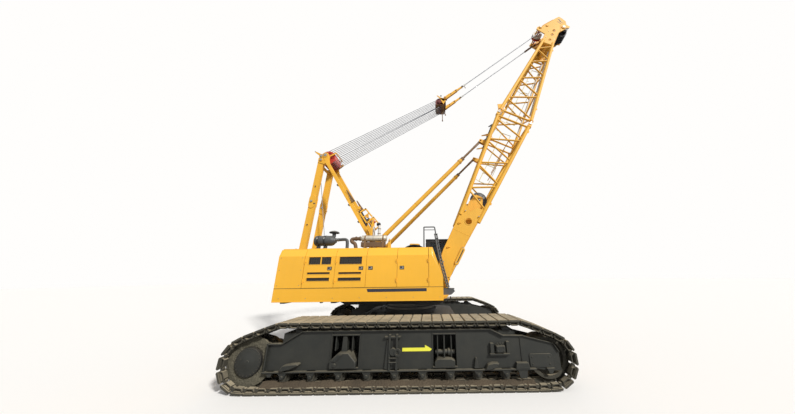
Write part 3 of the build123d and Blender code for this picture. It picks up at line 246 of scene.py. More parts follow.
def wavePattern(scale, turn=(0.0, 0.0, 0.0), second=None, low=0.3, high=0.7):
    def build(tree):
        place = addNode(tree, "TexCoord").outputs["Object"]
        masks = []
        for angle in ([turn, second] if second else [turn]):
            mapping = addNode(tree, "Mapping", {"Rotation": angle})
            wave = addNode(tree, "TexWave", {"Scale": scale}, wave_type="BANDS", bands_direction="X")
            tree.links.new(place, mapping.inputs["Vector"])
            tree.links.new(mapping.outputs[0], wave.inputs["Vector"])
            masks.append(rangeNode(tree, wave.outputs["Fac"], low, high))
        return masks[0] if len(masks) == 1 else mathNode(tree, "MAXIMUM", *masks)
    return build


def cellPattern(scale, low, high):
    def build(tree):
        place = addNode(tree, "TexCoord").outputs["Object"]
        cells = addNode(tree, "TexVoronoi", {"Scale": scale}, feature="F1")
        tree.links.new(place, cells.inputs["Vector"])
        return rangeNode(tree, cells.outputs["Distance"], low, high)
    return build


def glassLook(name, tint, weight):
    look = bpy.data.materials.new(name)
    look.use_nodes = True
    tree = look.node_tree
    shader = tree.nodes["Principled BSDF"]
    shader.inputs["Transmission Weight"].default_value = weight
    shader.inputs["IOR"].default_value = 1.3
    place = addNode(tree, "TexCoord").outputs["Object"]
    smear = rangeNode(tree, noiseNode(tree, place, 3.0, 6.0, 0.6), 0.45, 0.75)
    tree.links.new(mixColour(tree, smear, rgba(tint), rgba([min(1.0, c * 1.25 + 0.02) for c in tint])),
                   shader.inputs["Base Color"])
    tree.links.new(rangeNode(tree, smear, 0.0, 1.0, 0.03, 0.12), shader.inputs["Roughness"])
    return look


def splitLook(name, upper, lower, height):    # one colour over another, parted at a height; on the deck the near-black below is painted shade under the house, on the cab it is two-tone paint
    look = bpy.data.materials.new(name)
    look.use_nodes = True
    tree = look.node_tree
    shader = tree.nodes["Principled BSDF"]
    apart = addNode(tree, "SeparateXYZ")
    tree.links.new(addNode(tree, "TexCoord").outputs["Object"], apart.inputs[0])
    part = rangeNode(tree, apart.outputs[2], height - 0.002, height + 0.002)
    tone = useGroup(tree, toneGroup, {"Paint": mixColour(tree, part, rgba(lower), rgba(upper)),
                                      "Spread": 0.1, "Streak": 0.1, "Fine": 90.0})
    settled = useGroup(tree, dustGroup, {"Paint": tone.outputs["Color"], "Dust": rgba(dustTone),
                                         "Amount": 0.3, "Haze": 0.05})
    tree.links.new(settled.outputs["Color"], shader.inputs["Base Color"])
    tree.links.new(rangeNode(tree, settled.outputs["Mask"], 0.0, 0.6, 0.5, 0.9), shader.inputs["Roughness"])
    raised = addNode(tree, "Bump", {"Strength": 0.6, "Distance": 0.002})
    tree.links.new(tone.outputs["Height"], raised.inputs["Height"])
    tree.links.new(raised.outputs[0], shader.inputs["Normal"])
    return look


yellow = (0.95, 0.50, 0.035)
looks = {
    "houseYellow": coatedLook("houseYellow", yellow, 0.34, spread=0.07, streak=0.05, bump=0.01,
                              worn=(0.55, 0.33, 0.08),
                              wornAmount=0.35, dust=0.10, coat=0.25, dustColour=(0.72, 0.55, 0.25)),
    "boomYellow": coatedLook("boomYellow", (0.88, 0.46, 0.035), 0.55, spread=0.14, streak=0.16,
                             worn=(0.20, 0.11, 0.05),
                             wornAmount=0.5, dust=0.18, haze=0.05, dustColour=(0.62, 0.50, 0.26)),
    "frameCharcoal": coatedLook("frameCharcoal", (0.020, 0.022, 0.020), 0.50, spread=0.3, streak=0.2,
                                worn=(0.12, 0.11, 0.09),
                                wornAmount=0.5, dust=0.75, haze=0.06, dustColour=(0.21, 0.185, 0.13)),
    # yellow above the house's bottom edge and near-black below it: the near-black is painted shade under
    # the house
    "deckYellowOverPaintedShade": splitLook("deckYellowOverPaintedShade", yellow, (0.020, 0.020, 0.019), 1.655),
    # a darker copy of the frame charcoal with darker dust: painted shade on the carbody, its trim and the
    # cab platform under the house and cab; on the final drives it is their own dark disc colour
    "frameBlackAndPaintedShade": coatedLook("frameBlackAndPaintedShade", (0.012, 0.012, 0.012), 0.6, spread=0.3, dust=0.35, haze=0.05,
                             dustColour=(0.12, 0.105, 0.08)),
    "castTrack": coatedLook("castTrack", (0.042, 0.040, 0.031), 0.75, spread=0.5, streak=0.1, fine=60.0,
                            bump=0.10,
                            worn=(0.24, 0.21, 0.15), wornAmount=0.7, dust=1.0, haze=0.05,
                            dustColour=(0.50, 0.43, 0.30)),
    "dirtCake": coatedLook("dirtCake", (0.085, 0.080, 0.058), 0.95, spread=0.5, streak=0.0, fine=26.0,
                           bump=0.5,
                           dust=0.9, haze=0.25, dustColour=(0.27, 0.24, 0.17)),
    "rustSoil": coatedLook("rustSoil", (0.060, 0.048, 0.033), 0.95, spread=0.6, streak=0.0, fine=30.0,
                           bump=0.5, dust=0.5,
                           haze=0.2, dustColour=(0.13, 0.095, 0.060)),
    "bareSteel": coatedLook("bareSteel", (0.36, 0.36, 0.35), 0.34, 0.9, spread=0.2, streak=0.2, dust=0.25,
                            haze=0.1),
    "greasedSteel": coatedLook("greasedSteel", (0.10, 0.095, 0.085), 0.30, 0.85, spread=0.4, haze=0.1),
    "sheaveRed": coatedLook("sheaveRed", (0.52, 0.045, 0.030), 0.42, spread=0.25, streak=0.25,
                            worn=(0.10, 0.05, 0.04),
                            wornAmount=0.7, dust=0.2, haze=0.08, dustColour=(0.40, 0.20, 0.14)),
    "bridleRed": coatedLook("bridleRed", (0.16, 0.022, 0.018), 0.45, spread=0.3, streak=0.25,
                            worn=(0.05, 0.03, 0.03),
                            wornAmount=0.7, dust=0.2, haze=0.08, dustColour=(0.22, 0.12, 0.09)),
    "winchDark": coatedLook("winchDark", (0.030, 0.031, 0.034), 0.45, spread=0.3, worn=(0.2, 0.19, 0.17),
                            wornAmount=0.5,
                            dust=0.5, haze=0.05, dustColour=(0.22, 0.20, 0.17)),
    "tubeBrown": coatedLook("tubeBrown", (0.20, 0.105, 0.040), 0.5, spread=0.35, streak=0.3, haze=0.15,
                            dust=0.2),
    "engineGrey": coatedLook("engineGrey", (0.052, 0.056, 0.060), 0.5, spread=0.2, worn=(0.25, 0.24, 0.22),
                             wornAmount=0.3,
                             dust=0.45, haze=0.06, dustColour=(0.30, 0.28, 0.24)),
    "silencerSilver": coatedLook("silencerSilver", (0.60, 0.56, 0.48), 0.36, 0.75, spread=0.2, streak=0.35,
                                 fine=40.0,
                                 dust=0.2, haze=0.15, dustColour=(0.42, 0.36, 0.27)),
    "scorchedSteel": coatedLook("scorchedSteel", (0.15, 0.09, 0.05), 0.6, 0.45, spread=0.6, haze=0.2,
                                dust=0.3,
                                dustColour=(0.26, 0.17, 0.10)),
    "plasticBlack": coatedLook("plasticBlack", (0.012, 0.012, 0.013), 0.45, spread=0.2, fine=160.0,
                               bump=0.03, dust=0.12,
                               dustColour=(0.10, 0.095, 0.085)),
    "rubberBlack": coatedLook("rubberBlack", (0.016, 0.016, 0.016), 0.7, spread=0.3, fine=70.0, bump=0.04,
                              haze=0.1,
                              dustColour=(0.13, 0.12, 0.10)),
    "stripeNavy": coatedLook("stripeNavy", (0.022, 0.028, 0.045), 0.4, spread=0.1, haze=0.05,
                             dustColour=(0.2, 0.19, 0.17)),
    "arrowYellow": coatedLook("arrowYellow", (0.93, 0.90, 0.07), 0.5, spread=0.1, streak=0.2, haze=0.05),
    "railGrey": coatedLook("railGrey", (0.075, 0.082, 0.090), 0.5, spread=0.25, worn=(0.35, 0.35, 0.34),
                           wornAmount=0.4,
                           dust=0.35, haze=0.1, dustColour=(0.30, 0.28, 0.24)),
    "walkYellow": coatedLook("walkYellow", (0.86, 0.68, 0.16), 0.5, spread=0.15, streak=0.2),
    "whitePaint": coatedLook("whitePaint", (0.72, 0.70, 0.66), 0.5, spread=0.1, streak=0.2, haze=0.1),
    "cabBody": splitLook("cabBody", (0.014, 0.014, 0.015), yellow, 2.90),
    "lampGlass": glassLook("lampGlass", (0.85, 0.87, 0.88), 0.6),
    "cabTint": glassLook("cabTint", (0.12, 0.15, 0.17), 0.85),
    "grille": patternLook("grille", (0.010, 0.010, 0.011), (0.055, 0.050, 0.040),
                          wavePattern(26.0, (0, 0.785, 0), (0, -0.785, 0), 0.62, 0.82), 0.55),
    "treadPlate": patternLook("treadPlate", (0.055, 0.056, 0.055), (0.19, 0.185, 0.17),
                              cellPattern(16.0, 0.42, 0.30), 0.5, 0.4),
    "seatCloth": patternLook("seatCloth", (0.018, 0.018, 0.022), (0.050, 0.050, 0.056),
                             wavePattern(70.0, (0, 0, 0.785), (0, 1.57, 0), 0.35, 0.65), 0.85, bump=0.5,
                             distance=0.002),
    "wireRope": patternLook("wireRope", (0.16, 0.17, 0.19), (0.46, 0.48, 0.52),
                            wavePattern(9.0, (0.0, 1.0, 0.0), None, 0.25, 0.75), 0.42, 0.7, 0.6, 0.006),
}
print("finishes made:", len(looks))

# tools for the pieces


def joinPart(bm, part, paint=0, matrix=None, bevel=0.0):    # puts one finished shape into a piece
    if bevel:
        edges = [edge for edge in part.edges if edge.calc_face_angle(0.0) > 0.5]
        bmesh.ops.bevel(part, geom=edges, offset=bevel, affect="EDGES", segments=1, profile=0.5,
                        material=-1, clamp_overlap=True)
    if matrix:
        bmesh.ops.transform(part, matrix=matrix, verts=part.verts)
    bmesh.ops.recalc_face_normals(part, faces=part.faces)
    for face in part.faces:
        face.material_index = face.material_index if paint is None else paint
    mesh = bpy.data.meshes.new("part")
    part.to_mesh(mesh)
    part.free()
    bm.from_mesh(mesh)
    bpy.data.meshes.remove(mesh)


def addBlock(bm, low, high, bevel=0.0, paint=0, matrix=None):
    low, high = Vector(low), Vector(high)
    part = bmesh.new()
    bmesh.ops.create_cube(part, size=1.0,
                          matrix=Matrix.Translation((low + high) / 2) @
                          Matrix.Diagonal((*(high - low), 1.0)))
    joinPart(bm, part, paint, matrix, bevel)


def addRod(bm, start, end, radius, endRadius=None, segments=16, paint=0, bevel=0.0):
    start, end = Vector(start), Vector(end)
    place = Matrix.Translation((start + end) / 2) @ (end - start).to_track_quat("Z",
                                                                                "Y").to_matrix().to_4x4()
    part = bmesh.new()
    bmesh.ops.create_cone(part, cap_ends=True, segments=segments, radius1=radius,
                          radius2=radius if endRadius is None else endRadius, depth=(end - start).length,
                          matrix=place)
    joinPart(bm, part, paint, None, bevel)


# outline in x and z, thickness along y
def addPlate(bm, outline, low, high, bevel=0.0, paint=0, matrix=None):
    part = bmesh.new()
    flat = part.faces.new([part.verts.new((x, low, z)) for x, z in outline])
    raised = bmesh.ops.extrude_face_region(part, geom=[flat])["geom"]
    bmesh.ops.translate(part, verts=[item for item in raised if isinstance(item, bmesh.types.BMVert)],
                        vec=(0, high - low, 0))
    joinPart(bm, part, paint, matrix, bevel)


def addTurned(bm, profile, centre, segments=32, paint=0, axis=(0, 1, 0), closed=True):
    # profile gives radius and distance along the axis
    centre, axis = Vector(centre), Vector(axis).normalized()
    side = axis.orthogonal().normalized()
    part = bmesh.new()
    verts = [part.verts.new(centre + side * radius + axis * along) for radius, along in profile]
    edges = [part.edges.new(pair) for pair in zip(verts, verts[1:] + verts[:1] if closed else verts[1:])]
    bmesh.ops.spin(part, geom=verts + edges, cent=centre, axis=axis, dvec=(0, 0, 0), angle=math.tau,
                   steps=segments,
                   use_merge=True, use_duplicate=False)
    bmesh.ops.remove_doubles(part, verts=part.verts, dist=0.00001)
    joinPart(bm, part, paint)


def addTube(bm, points, radius, paint=0, smooth=True, sides=2, cyclic=False):
    curve = bpy.data.curves.new("run", "CURVE")
    curve.dimensions = "3D"
    curve.bevel_depth = radius
    curve.bevel_resolution = sides
    curve.resolution_u = 5
    curve.use_fill_caps = True
    spline = curve.splines.new("NURBS" if smooth else "POLY")
    spline.points.add(len(points) - 1)
    for point, place in zip(spline.points, points):
        point.co = (*place, 1.0)
    spline.order_u = 3
    spline.use_endpoint_u = True
    spline.use_cyclic_u = cyclic
    holder = bpy.data.objects.new("run", curve)
    mesh = bpy.data.meshes.new_from_object(holder)
    part = bmesh.new()
    part.from_mesh(mesh)
    bmesh.ops.remove_doubles(part, verts=part.verts, dist=0.00001)
    bpy.data.objects.remove(holder)
    bpy.data.curves.remove(curve)
    bpy.data.meshes.remove(mesh)
    joinPart(bm, part, paint)


def addCopies(bm, part, places, paint=0):
    bmesh.ops.recalc_face_normals(part, faces=part.faces)
    for face in part.faces:
        face.material_index = paint if paint is not None else face.material_index
    mesh = bpy.data.meshes.new("copied")
    part.to_mesh(mesh)
    part.free()
    for place in places:
        copy = mesh.copy()
        copy.transform(place)
        bm.from_mesh(copy)
        bpy.data.meshes.remove(copy)
    bpy.data.meshes.remove(mesh)


# hexagon heads, each with its point and direction
def addBolts(bm, places, radius=0.018, height=0.014, paint=0):
    head = bmesh.new()
    bmesh.ops.create_cone(head, cap_ends=True, segments=6, radius1=radius, radius2=radius * 0.9,
                          depth=height,
                          matrix=Matrix.Translation((0, 0, height / 2)))
    addCopies(bm, head, [Matrix.Translation(point) @
                         Vector(way).to_track_quat("Z", "Y").to_matrix().to_4x4()
                         for point, way in places], paint)


def bothSides(bm):    # the same shapes again, mirrored across the crane's middle plane
    bmesh.ops.mirror(bm, geom=bm.verts[:] + bm.edges[:] + bm.faces[:], axis="Y", merge_dist=0.0)
    bmesh.ops.recalc_face_normals(bm, faces=bm.faces)


def finishPiece(name, bm, surfaces, body, replaces=(), sharp=0.6, blend=None):
    for face in bm.faces:
        face.smooth = True
    for edge in bm.edges:
        edge.smooth = edge.calc_face_angle(0.0) < sharp
    mesh = bpy.data.meshes.new(name)
    bm.to_mesh(mesh)
    bm.free()
    for surface in surfaces:
        mesh.materials.append(looks[surface])
    piece = bpy.data.objects.new(name, mesh)
    scene.collection.objects.link(piece)
    if blend:
        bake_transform(piece)
    else:
        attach(piece, body)
    if replaces:
        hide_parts(*replaces)
    return piece


def dressNode(node, *surfaces):    # a carried-over node gets its finish on the slots that it has
    slots = nodes[node].material_slots
    for number, slot in enumerate(slots):
        slot.material = looks[surfaces[min(number, len(surfaces) - 1)]]

# crawler tracks
tracks = {"halfLength": 3.9, "top": 1.38, "wrap": 0.565, "lift": 0.008, "riseAt": 3.035, "bendAt": 2.77,
          "middle": 2.7, "pinDepth": 0.095, "pitch": 0.25, "halfWidth": 0.475, "lugInner": 0.345}


def pinLine():    # points along the closed line through the chain pins
    t = tracks
    wheel = Vector((t["halfLength"] - t["wrap"], t["wrap"] + t["lift"]))
    radius = t["wrap"] - t["pinDepth"]
    along = wheel.x - t["riseAt"]
    rise = math.atan2(wheel.y, along) - math.asin(t["wrap"] / math.hypot(along, wheel.y))
    across, down = wheel.x - t["bendAt"], wheel.y - t["top"]
    slope = math.atan2(down, across) + math.asin(t["wrap"] / math.hypot(across, down))
    half = [Vector((0.0, t["pinDepth"])),
            Vector((t["riseAt"] - t["pinDepth"] * math.tan(rise / 2), t["pinDepth"]))]
    for step in range(61):
        heading = rise + (math.pi + slope - rise) * step / 60
        half.append(wheel + Vector((math.sin(heading), -math.cos(heading))) * radius)
    half += [Vector((t["bendAt"] - t["pinDepth"] * math.tan(-slope / 2), t["top"] - t["pinDepth"])),
             Vector((0.0, t["top"] - t["pinDepth"]))]
    return half + [Vector((-point.x, point.y)) for point in half[-2:0:-1]]


def evenPoints(line, pitch):    # points at equal distances, about a pitch, round a closed line
    lengths = [(b - a).length for a, b in zip(line, line[1:] + line[:1])]
    count = round(sum(lengths) / pitch)
    step = sum(lengths) / count
    found, walked, index = [], 0.0, 0
    for number in range(count):
        while walked + lengths[index] < number * step:
            walked += lengths[index]
            index += 1
        found.append(line[index].lerp(line[(index + 1) % len(line)],
                                      (number * step - walked) / lengths[index]))
    return found


def makeShoe():    # one shoe: plate, two hollow end lugs and the links that carry the pin
    t = tracks
    shoe = bmesh.new()
    wide, lug = t["halfWidth"], t["lugInner"]
    addPlate(shoe, [(-0.100, -0.095), (0.100, -0.095), (0.119, -0.075), (0.119, -0.055), (-0.119, -0.055),
                    (-0.119, -0.075)],
             -wide, wide)
    for side in (-1, 1):
        low, high = sorted((side * lug, side * (wide - 0.023)))
        addPlate(shoe, [(-0.100, -0.056), (0.100, -0.056), (0.100, -0.020), (0.066, 0.026), (-0.066, 0.026),
                        (-0.100, -0.020)], low, high)
        low, high = sorted((side * (lug + 0.025), side * (wide - 0.045)))
        addPlate(shoe, [(0.095, -0.030), (0.132, -0.034), (0.150, -0.012), (0.146, 0.020), (0.112, 0.030),
                        (0.090, 0.026)], low, high)
        low, high = sorted((side * 0.055, side * 0.185))
        addPlate(shoe, [(-0.121, -0.056), (0.121, -0.056), (0.121, 0.022), (0.085, 0.045), (-0.085, 0.045),
                        (-0.121, 0.022)], low, high)
    shoe.normal_update()
    ends = [face for face in shoe.faces if abs(face.normal.y) > 0.9 and
            abs(face.calc_center_median().y) > wide - 0.03 and face.calc_center_median().z > -0.050]
    bmesh.ops.inset_individual(shoe, faces=ends, thickness=0.020, depth=0.0)
    bmesh.ops.inset_individual(shoe, faces=ends, thickness=0.004, depth=-0.060)
    addRod(shoe, (-0.124, -0.21, -0.002), (-0.124, 0.21, -0.002), 0.026, segments=8, paint=0)
    return shoe


def makeTrack(name, side):
    pins = evenPoints(pinLine(), tracks["pitch"])
    places = []
    for a, b in zip(pins, pins[1:] + pins[:1]):
        way = (b - a).normalized()
        middle = (a + b) / 2
        place = Matrix(((way.x, 0, -way.y, middle.x), (0, 1, 0, side * tracks["middle"]),
                        (way.y, 0, way.x, middle.y), (0, 0, 0, 1)))
        # a used chain never lies quite straight
        tilt = Matrix.Rotation(rand.uniform(-0.008, 0.008), 4, "Y")
        places.append(place @ tilt)
    bm = bmesh.new()
    addCopies(bm, makeShoe(), places)
    return finishPiece(name, bm, ["castTrack"], "undercarriage",
                       [name.replace("Shoes", "_track")], sharp=0.5)


makeTrack("rightShoes", -1)
makeTrack("leftShoes", 1)
print("tracks laid")

# side frames
sideFrame = {"face": -3.02, "rollers": (-2.52, 0.61, 9), "drive": (-3.335, 0.573)}
frameOutline = [(-2.94, 0.39), (-2.94, 0.94), (-2.62, 0.94), (-2.19, 1.19), (2.07, 1.19), (2.36, 1.05),
                (2.80, 1.04),
                (3.47, 0.88), (3.57, 0.72), (3.58, 0.34), (3.30, 0.34), (3.00, 0.39)]


def addEdging(bm, line, low, high, thick):    # a welded strip that follows an outline
    for a, b in zip(line, line[1:]):
        way = (Vector(b) - Vector(a)).normalized() * thick
        normal = Vector((-way.y, way.x))
        a, b = Vector(a) - way * 0.5, Vector(b) + way * 0.5
        addPlate(bm, [tuple(a), tuple(b), tuple(b + normal), tuple(a + normal)], low, high, 0.004)


# strips, brackets and covers on the outside of the right side frame, then on the left
def makeFrameTrim():
    face = sideFrame["face"]
    bm = bmesh.new()
    addEdging(bm, frameOutline[0:6][::-1], face - 0.065, face + 0.01, 0.022)
    addEdging(bm, frameOutline[5:9][::-1], face - 0.040, face + 0.01, 0.020)
    addEdging(bm, [(3.00, 0.40), (-2.94, 0.40)], face - 0.075, face + 0.01, 0.026)
    addEdging(bm, [(-2.925, 0.42), (-2.925, 0.93)], face - 0.045, face + 0.01, 0.020)
    for x in (-1.53, -0.885, 0.755, 1.295, 2.735):    # edges of the openings and the plate seams
        addBlock(bm, (x - 0.010, face - 0.016, 0.43), (x + 0.010, face + 0.01, 1.165 if x < 2.3 else 1.02),
                 0.003)
    for low, high in ((-1.51, -0.90), (0.77, 1.28)):
        addBlock(bm, (low - 0.02, face - 0.016, 1.075), (high + 0.02, face + 0.01, 1.10), 0.003)
        addBlock(bm, (low - 0.02, face - 0.050, 0.432), (high + 0.02, face + 0.01, 0.455), 0.003)
    # rear opening: post and the stepped foot before it
    addPlate(bm, [(-1.30, 0.70), (-1.17, 0.70), (-1.19, 1.06), (-1.28, 1.06)], face + 0.02, face + 0.30,
             0.004)
    addPlate(bm, [(-1.50, 0.45), (-0.93, 0.45), (-0.93, 0.57), (-1.10, 0.75), (-1.33, 0.75), (-1.50, 0.60)],
             face - 0.10, face + 0.25, 0.012)
    addPlate(bm, [(-1.46, 0.60), (-1.33, 0.73), (-1.22, 0.73), (-1.36, 0.585)], face - 0.125, face - 0.08,
             0.006)
    addRod(bm, (-1.38, face - 0.13, 0.525), (-1.38, face - 0.08, 0.525), 0.035, segments=18, bevel=0.004)
    for x in (-1.44, -1.06):
        addBlock(bm, (x - 0.012, face + 0.03, 0.76), (x + 0.012, face + 0.24, 1.075), 0.003)
    # front opening: divider, track adjuster and its box
    addBlock(bm, (1.005, face + 0.02, 0.60), (1.035, face + 0.28, 1.075), 0.003)
    addPlate(bm, [(0.80, 0.45), (1.25, 0.45), (1.25, 0.56), (1.16, 0.60), (0.86, 0.60), (0.80, 0.54)],
             face - 0.055, face + 0.22, 0.010)
    addRod(bm, (0.82, face + 0.10, 0.70), (1.26, face + 0.10, 0.70), 0.052, segments=20, bevel=0.004)
    addRod(bm, (1.10, face + 0.10, 0.70), (1.16, face + 0.10, 0.70), 0.078, segments=20, bevel=0.005)
    for x in (0.87, 1.18):
        addBlock(bm, (x - 0.012, face + 0.03, 0.62), (x + 0.012, face + 0.24, 1.075), 0.003)
    # middle bracket: cross bar, two plates, boss and ring
    addBlock(bm, (-0.32, face - 0.070, 1.02), (0.05, face + 0.01, 1.062), 0.006)
    for x in (-0.20, -0.04):
        addPlate(bm, [(x - 0.022, 0.40), (x + 0.022, 0.40), (x + 0.022, 1.10), (x - 0.022, 1.10)],
                 face - 0.088, face + 0.01, 0.005)
    addRod(bm, (-0.12, face - 0.105, 0.76), (-0.12, face, 0.76), 0.075, segments=28, bevel=0.006)
    addTurned(bm, [(0.045, -0.016), (0.075, -0.016), (0.075, 0.016), (0.045, 0.016)],
              (-0.015, face - 0.105, 0.755), 28)
    addPlate(bm, [(-0.31, 0.43), (-0.23, 0.40), (-0.22, 0.98), (-0.26, 0.98)], face - 0.05, face + 0.01,
             0.004)
    for z in (0.56, 0.64):
        addRod(bm, (-0.20, face - 0.095, z), (-0.04, face - 0.095, z), 0.012, segments=10)
    # covers, steps, lifting lugs
    addPlate(bm, [(2.90, 0.42), (3.38, 0.40), (3.41, 0.44), (3.41, 0.64), (3.37, 0.67), (2.93, 0.67),
                  (2.90, 0.64)], face - 0.022, face + 0.01, 0.005)
    addPlate(bm, [(2.56, 0.40), (2.87, 0.40), (2.84, 0.52), (2.59, 0.52)], face - 0.090, face + 0.01, 0.008)
    addPlate(bm, [(2.60, 0.40), (2.83, 0.40), (2.79, 0.22), (2.64, 0.22)], face - 0.060, face - 0.030,
             0.004)
    addBlock(bm, (2.02, face - 0.080, 0.66), (2.46, face + 0.01, 0.70), 0.006)
    addBlock(bm, (2.04, face - 0.070, 0.70), (2.12, face + 0.01, 0.90), 0.006)
    addBlock(bm, (2.16, face - 0.110, 0.72), (2.36, face + 0.01, 0.86), 0.012)
    addBlock(bm, (2.40, face - 0.060, 0.70), (2.47, face + 0.01, 0.93), 0.006)
    for x in (2.20, 2.26, 2.32):
        addRod(bm, (x, face - 0.075, 0.86), (x, face - 0.075, 0.905), 0.016, segments=12)
    for low, outline in ((-0.13, [(-2.56, 0.43), (-2.50, 0.53), (-2.36, 0.55), (-2.18, 0.56), (-2.15, 0.53),
                                  (-2.32, 0.46), (-2.50, 0.42)]),
                         (-0.12, [(1.90, 0.40), (1.95, 0.50), (2.08, 0.53), (2.20, 0.52), (2.16, 0.45),
                                  (2.00, 0.40)])):
        addPlate(bm, outline, face + low, face + 0.01, 0.012)
    addPlate(bm, [(1.66, 0.42), (1.76, 0.42), (1.72, 0.62), (1.70, 0.62)], face - 0.07, face + 0.01, 0.004)
    # supports of the carrier rollers
    for x in (-2.33, 2.46):
        for y in (face + 0.095, face + 0.545):
            addPlate(bm, [(x - 0.13, 0.95 if x < 0 else 1.04), (x + 0.13, 1.00 if x < 0 else 1.04),
                          (x + 0.07, 1.19), (x - 0.07, 1.19)], y - 0.02, y + 0.02, 0.004)
    # guards over the lower run, one beside each roller
    first, step, count = sideFrame["rollers"]
    for number in range(count):
        x = first + number * step
        addPlate(bm, [(x - 0.105, 0.40), (x + 0.105, 0.40), (x + 0.085, 0.335), (x + 0.055, 0.305),
                      (x + 0.045, 0.245), (x - 0.045, 0.245),
                      (x - 0.055, 0.305), (x - 0.085, 0.335)], face - 0.050, face + 0.01, 0.008)
        addRod(bm, (x, face - 0.070, 0.285), (x, face, 0.285), 0.032, segments=18, bevel=0.004)
    for x in (-2.80, 3.33):
        addPlate(bm, [(x - 0.09, 0.40), (x + 0.09, 0.40), (x + 0.03, 0.29), (x - 0.04, 0.29)], face - 0.045,
                 face + 0.01, 0.006)
    bolts = [((x, face - 0.050, z), (0, -1, 0)) for number in range(count)
             for x in (first + number * step - 0.072, first + number * step + 0.072) for z in (0.362,)]
    bolts += [((x, face - 0.022, z), (0, -1, 0)) for x in (2.96, 3.34) for z in (0.47, 0.61)]
    bolts += [((x, face - 0.070, 1.041), (0, -1, 0))
              for x in (-0.29, 0.02)] + [((x, face - 0.11, z), (0, -1, 0)) for x in (2.19, 2.33)
                                         for z in (0.75, 0.83)]
    addBolts(bm, bolts, 0.017, 0.013)
    bothSides(bm)
    finishPiece("frameTrim", bm, ["frameCharcoal"], "undercarriage")


def makeDriveCovers():    # covers of the final drives, each in a ring that the dirt has filled
    x, z = sideFrame["drive"]
    face = sideFrame["face"]
    bm = bmesh.new()
    addTurned(bm, [(0.0, -0.034), (0.110, -0.034), (0.124, -0.028), (0.225, -0.027), (0.250, -0.022),
                   (0.282, -0.014), (0.286, 0.0), (0.0, 0.0)],
              (x, face, z), 64, closed=False, paint=0)
    ring = bmesh.new()
    addTurned(ring, [(0.300, 0.045), (0.330, 0.036), (0.365, 0.040), (0.400, 0.034), (0.440, 0.038),
                     (0.475, 0.036), (0.508, 0.046), (0.508, 0.070),
                     (0.300, 0.070)], (x, face, z), 110)
    for vert in ring.verts:
        vert.co += Vector((rand.uniform(-0.007, 0.007), rand.uniform(-0.008, 0.006),
                           rand.uniform(-0.007, 0.007)))
    joinPart(bm, ring, 1)
    bolts = [((x + 0.262 * math.cos(turn), face - 0.019, z + 0.262 * math.sin(turn)), (0, -1, 0))
             for turn in [math.tau * i / 22 for i in range(22)]]
    addBolts(bm, bolts, 0.012, 0.010, 0)
    addRod(bm, (x, face - 0.042, z), (x, face - 0.034, z), 0.045, segments=24, bevel=0.003)
    addRod(bm, (x - 0.16, face - 0.036, z + 0.06), (x - 0.16, face - 0.026, z + 0.06), 0.018, segments=6)
    bothSides(bm)
    finishPiece("driveCovers", bm, ["frameCharcoal", "dirtCake"], "undercarriage")


def makeSoil():    # dry soil lying on the ledges and along the inside of the lower run
    bm = bmesh.new()
    for low, high, outer, inner, bottom, top, paint in ((-2.95, 2.95, -3.14, -2.99, 0.100, 0.190, 1),
                                                        (-2.15, 2.02, -3.075, -3.025, 1.176, 1.190, 0),
                                                        (2.38, 2.78, -3.055, -3.025, 1.030, 1.043, 0),
                                                        (-2.90, -2.66, -3.055, -3.025, 0.928, 0.942, 0)):
        part = bmesh.new()
        bmesh.ops.create_grid(part, x_segments=max(8, int(28 * (high - low))), y_segments=5, size=0.5)
        for vert in part.verts:
            along, across = vert.co.x + 0.5, vert.co.y + 0.5
            thin = 0.75 if low + (high - low) * along > 0.9 and paint else 1.0
            vert.co = (low + (high - low) * along, outer + (inner - outer) * across,
                       bottom + (top - bottom) * across * thin + rand.uniform(-0.004, 0.012) +
                       0.010 * paint * math.sin(along * 57.0))
        joinPart(bm, part, paint)
    bothSides(bm)
    for face in bm.faces:
        if face.normal.z < 0:
            face.normal_flip()
    finishPiece("drySoil", bm, ["dirtCake", "rustSoil"], "undercarriage", sharp=1.2)


def makeArrow():    # travel arrow, a thin film on both side frames
    bm = bmesh.new()
    addPlate(bm, [(0.075, 0.745), (0.70, 0.745), (0.74, 0.785), (0.585, 0.868), (0.585, 0.815),
                  (0.075, 0.815)], -3.0235, -3.019)
    bothSides(bm)
    finishPiece("travelArrow", bm, ["arrowYellow"], "undercarriage")


makeFrameTrim()
makeDriveCovers()
makeSoil()
makeArrow()
# the carbody's near-black finish is painted shade under the house
for node, surface in (("right_track_frame", "frameCharcoal"), ("left_track_frame", "frameCharcoal"),
                      ("drive_sprockets", "castTrack"),
                      ("final_drives", "frameBlackAndPaintedShade"), ("idlers", "castTrack"),
                      ("track_rollers", "castTrack"), ("carbody", "frameBlackAndPaintedShade"),
                      ("slewing_ring_lower", "greasedSteel"), ("slewing_ring_upper", "greasedSteel")):
    dressNode(node, surface)
print("undercarriage dressed")

# machinery houses
house = {"face": -1.5, "front": 1.122, "leftFront": -0.452, "latchZ": 2.638, "roof": 3.285}
vents = {"right_door_1": ((-3.13, -2.42, 2.765, 2.995), (-3.135, -2.425, 2.468, 2.525),
                          (-3.135, -2.425, 2.263, 2.359)),
         "right_door_2": ((-2.155, -1.44, 2.765, 2.995), (-2.155, -1.44, 2.463, 2.520),
                          (-2.155, -1.44, 2.258, 2.354))}
latches = {"right_door_1": (-2.446, -1), "right_door_2": (-1.457, -1), "right_door_3": (-1.154, -1),
           "right_door_4": (-0.164, -1),
           "left_door_1": (-2.446, 1), "left_door_2": (-1.457, 1), "left_door_3": (-1.154, 1)}


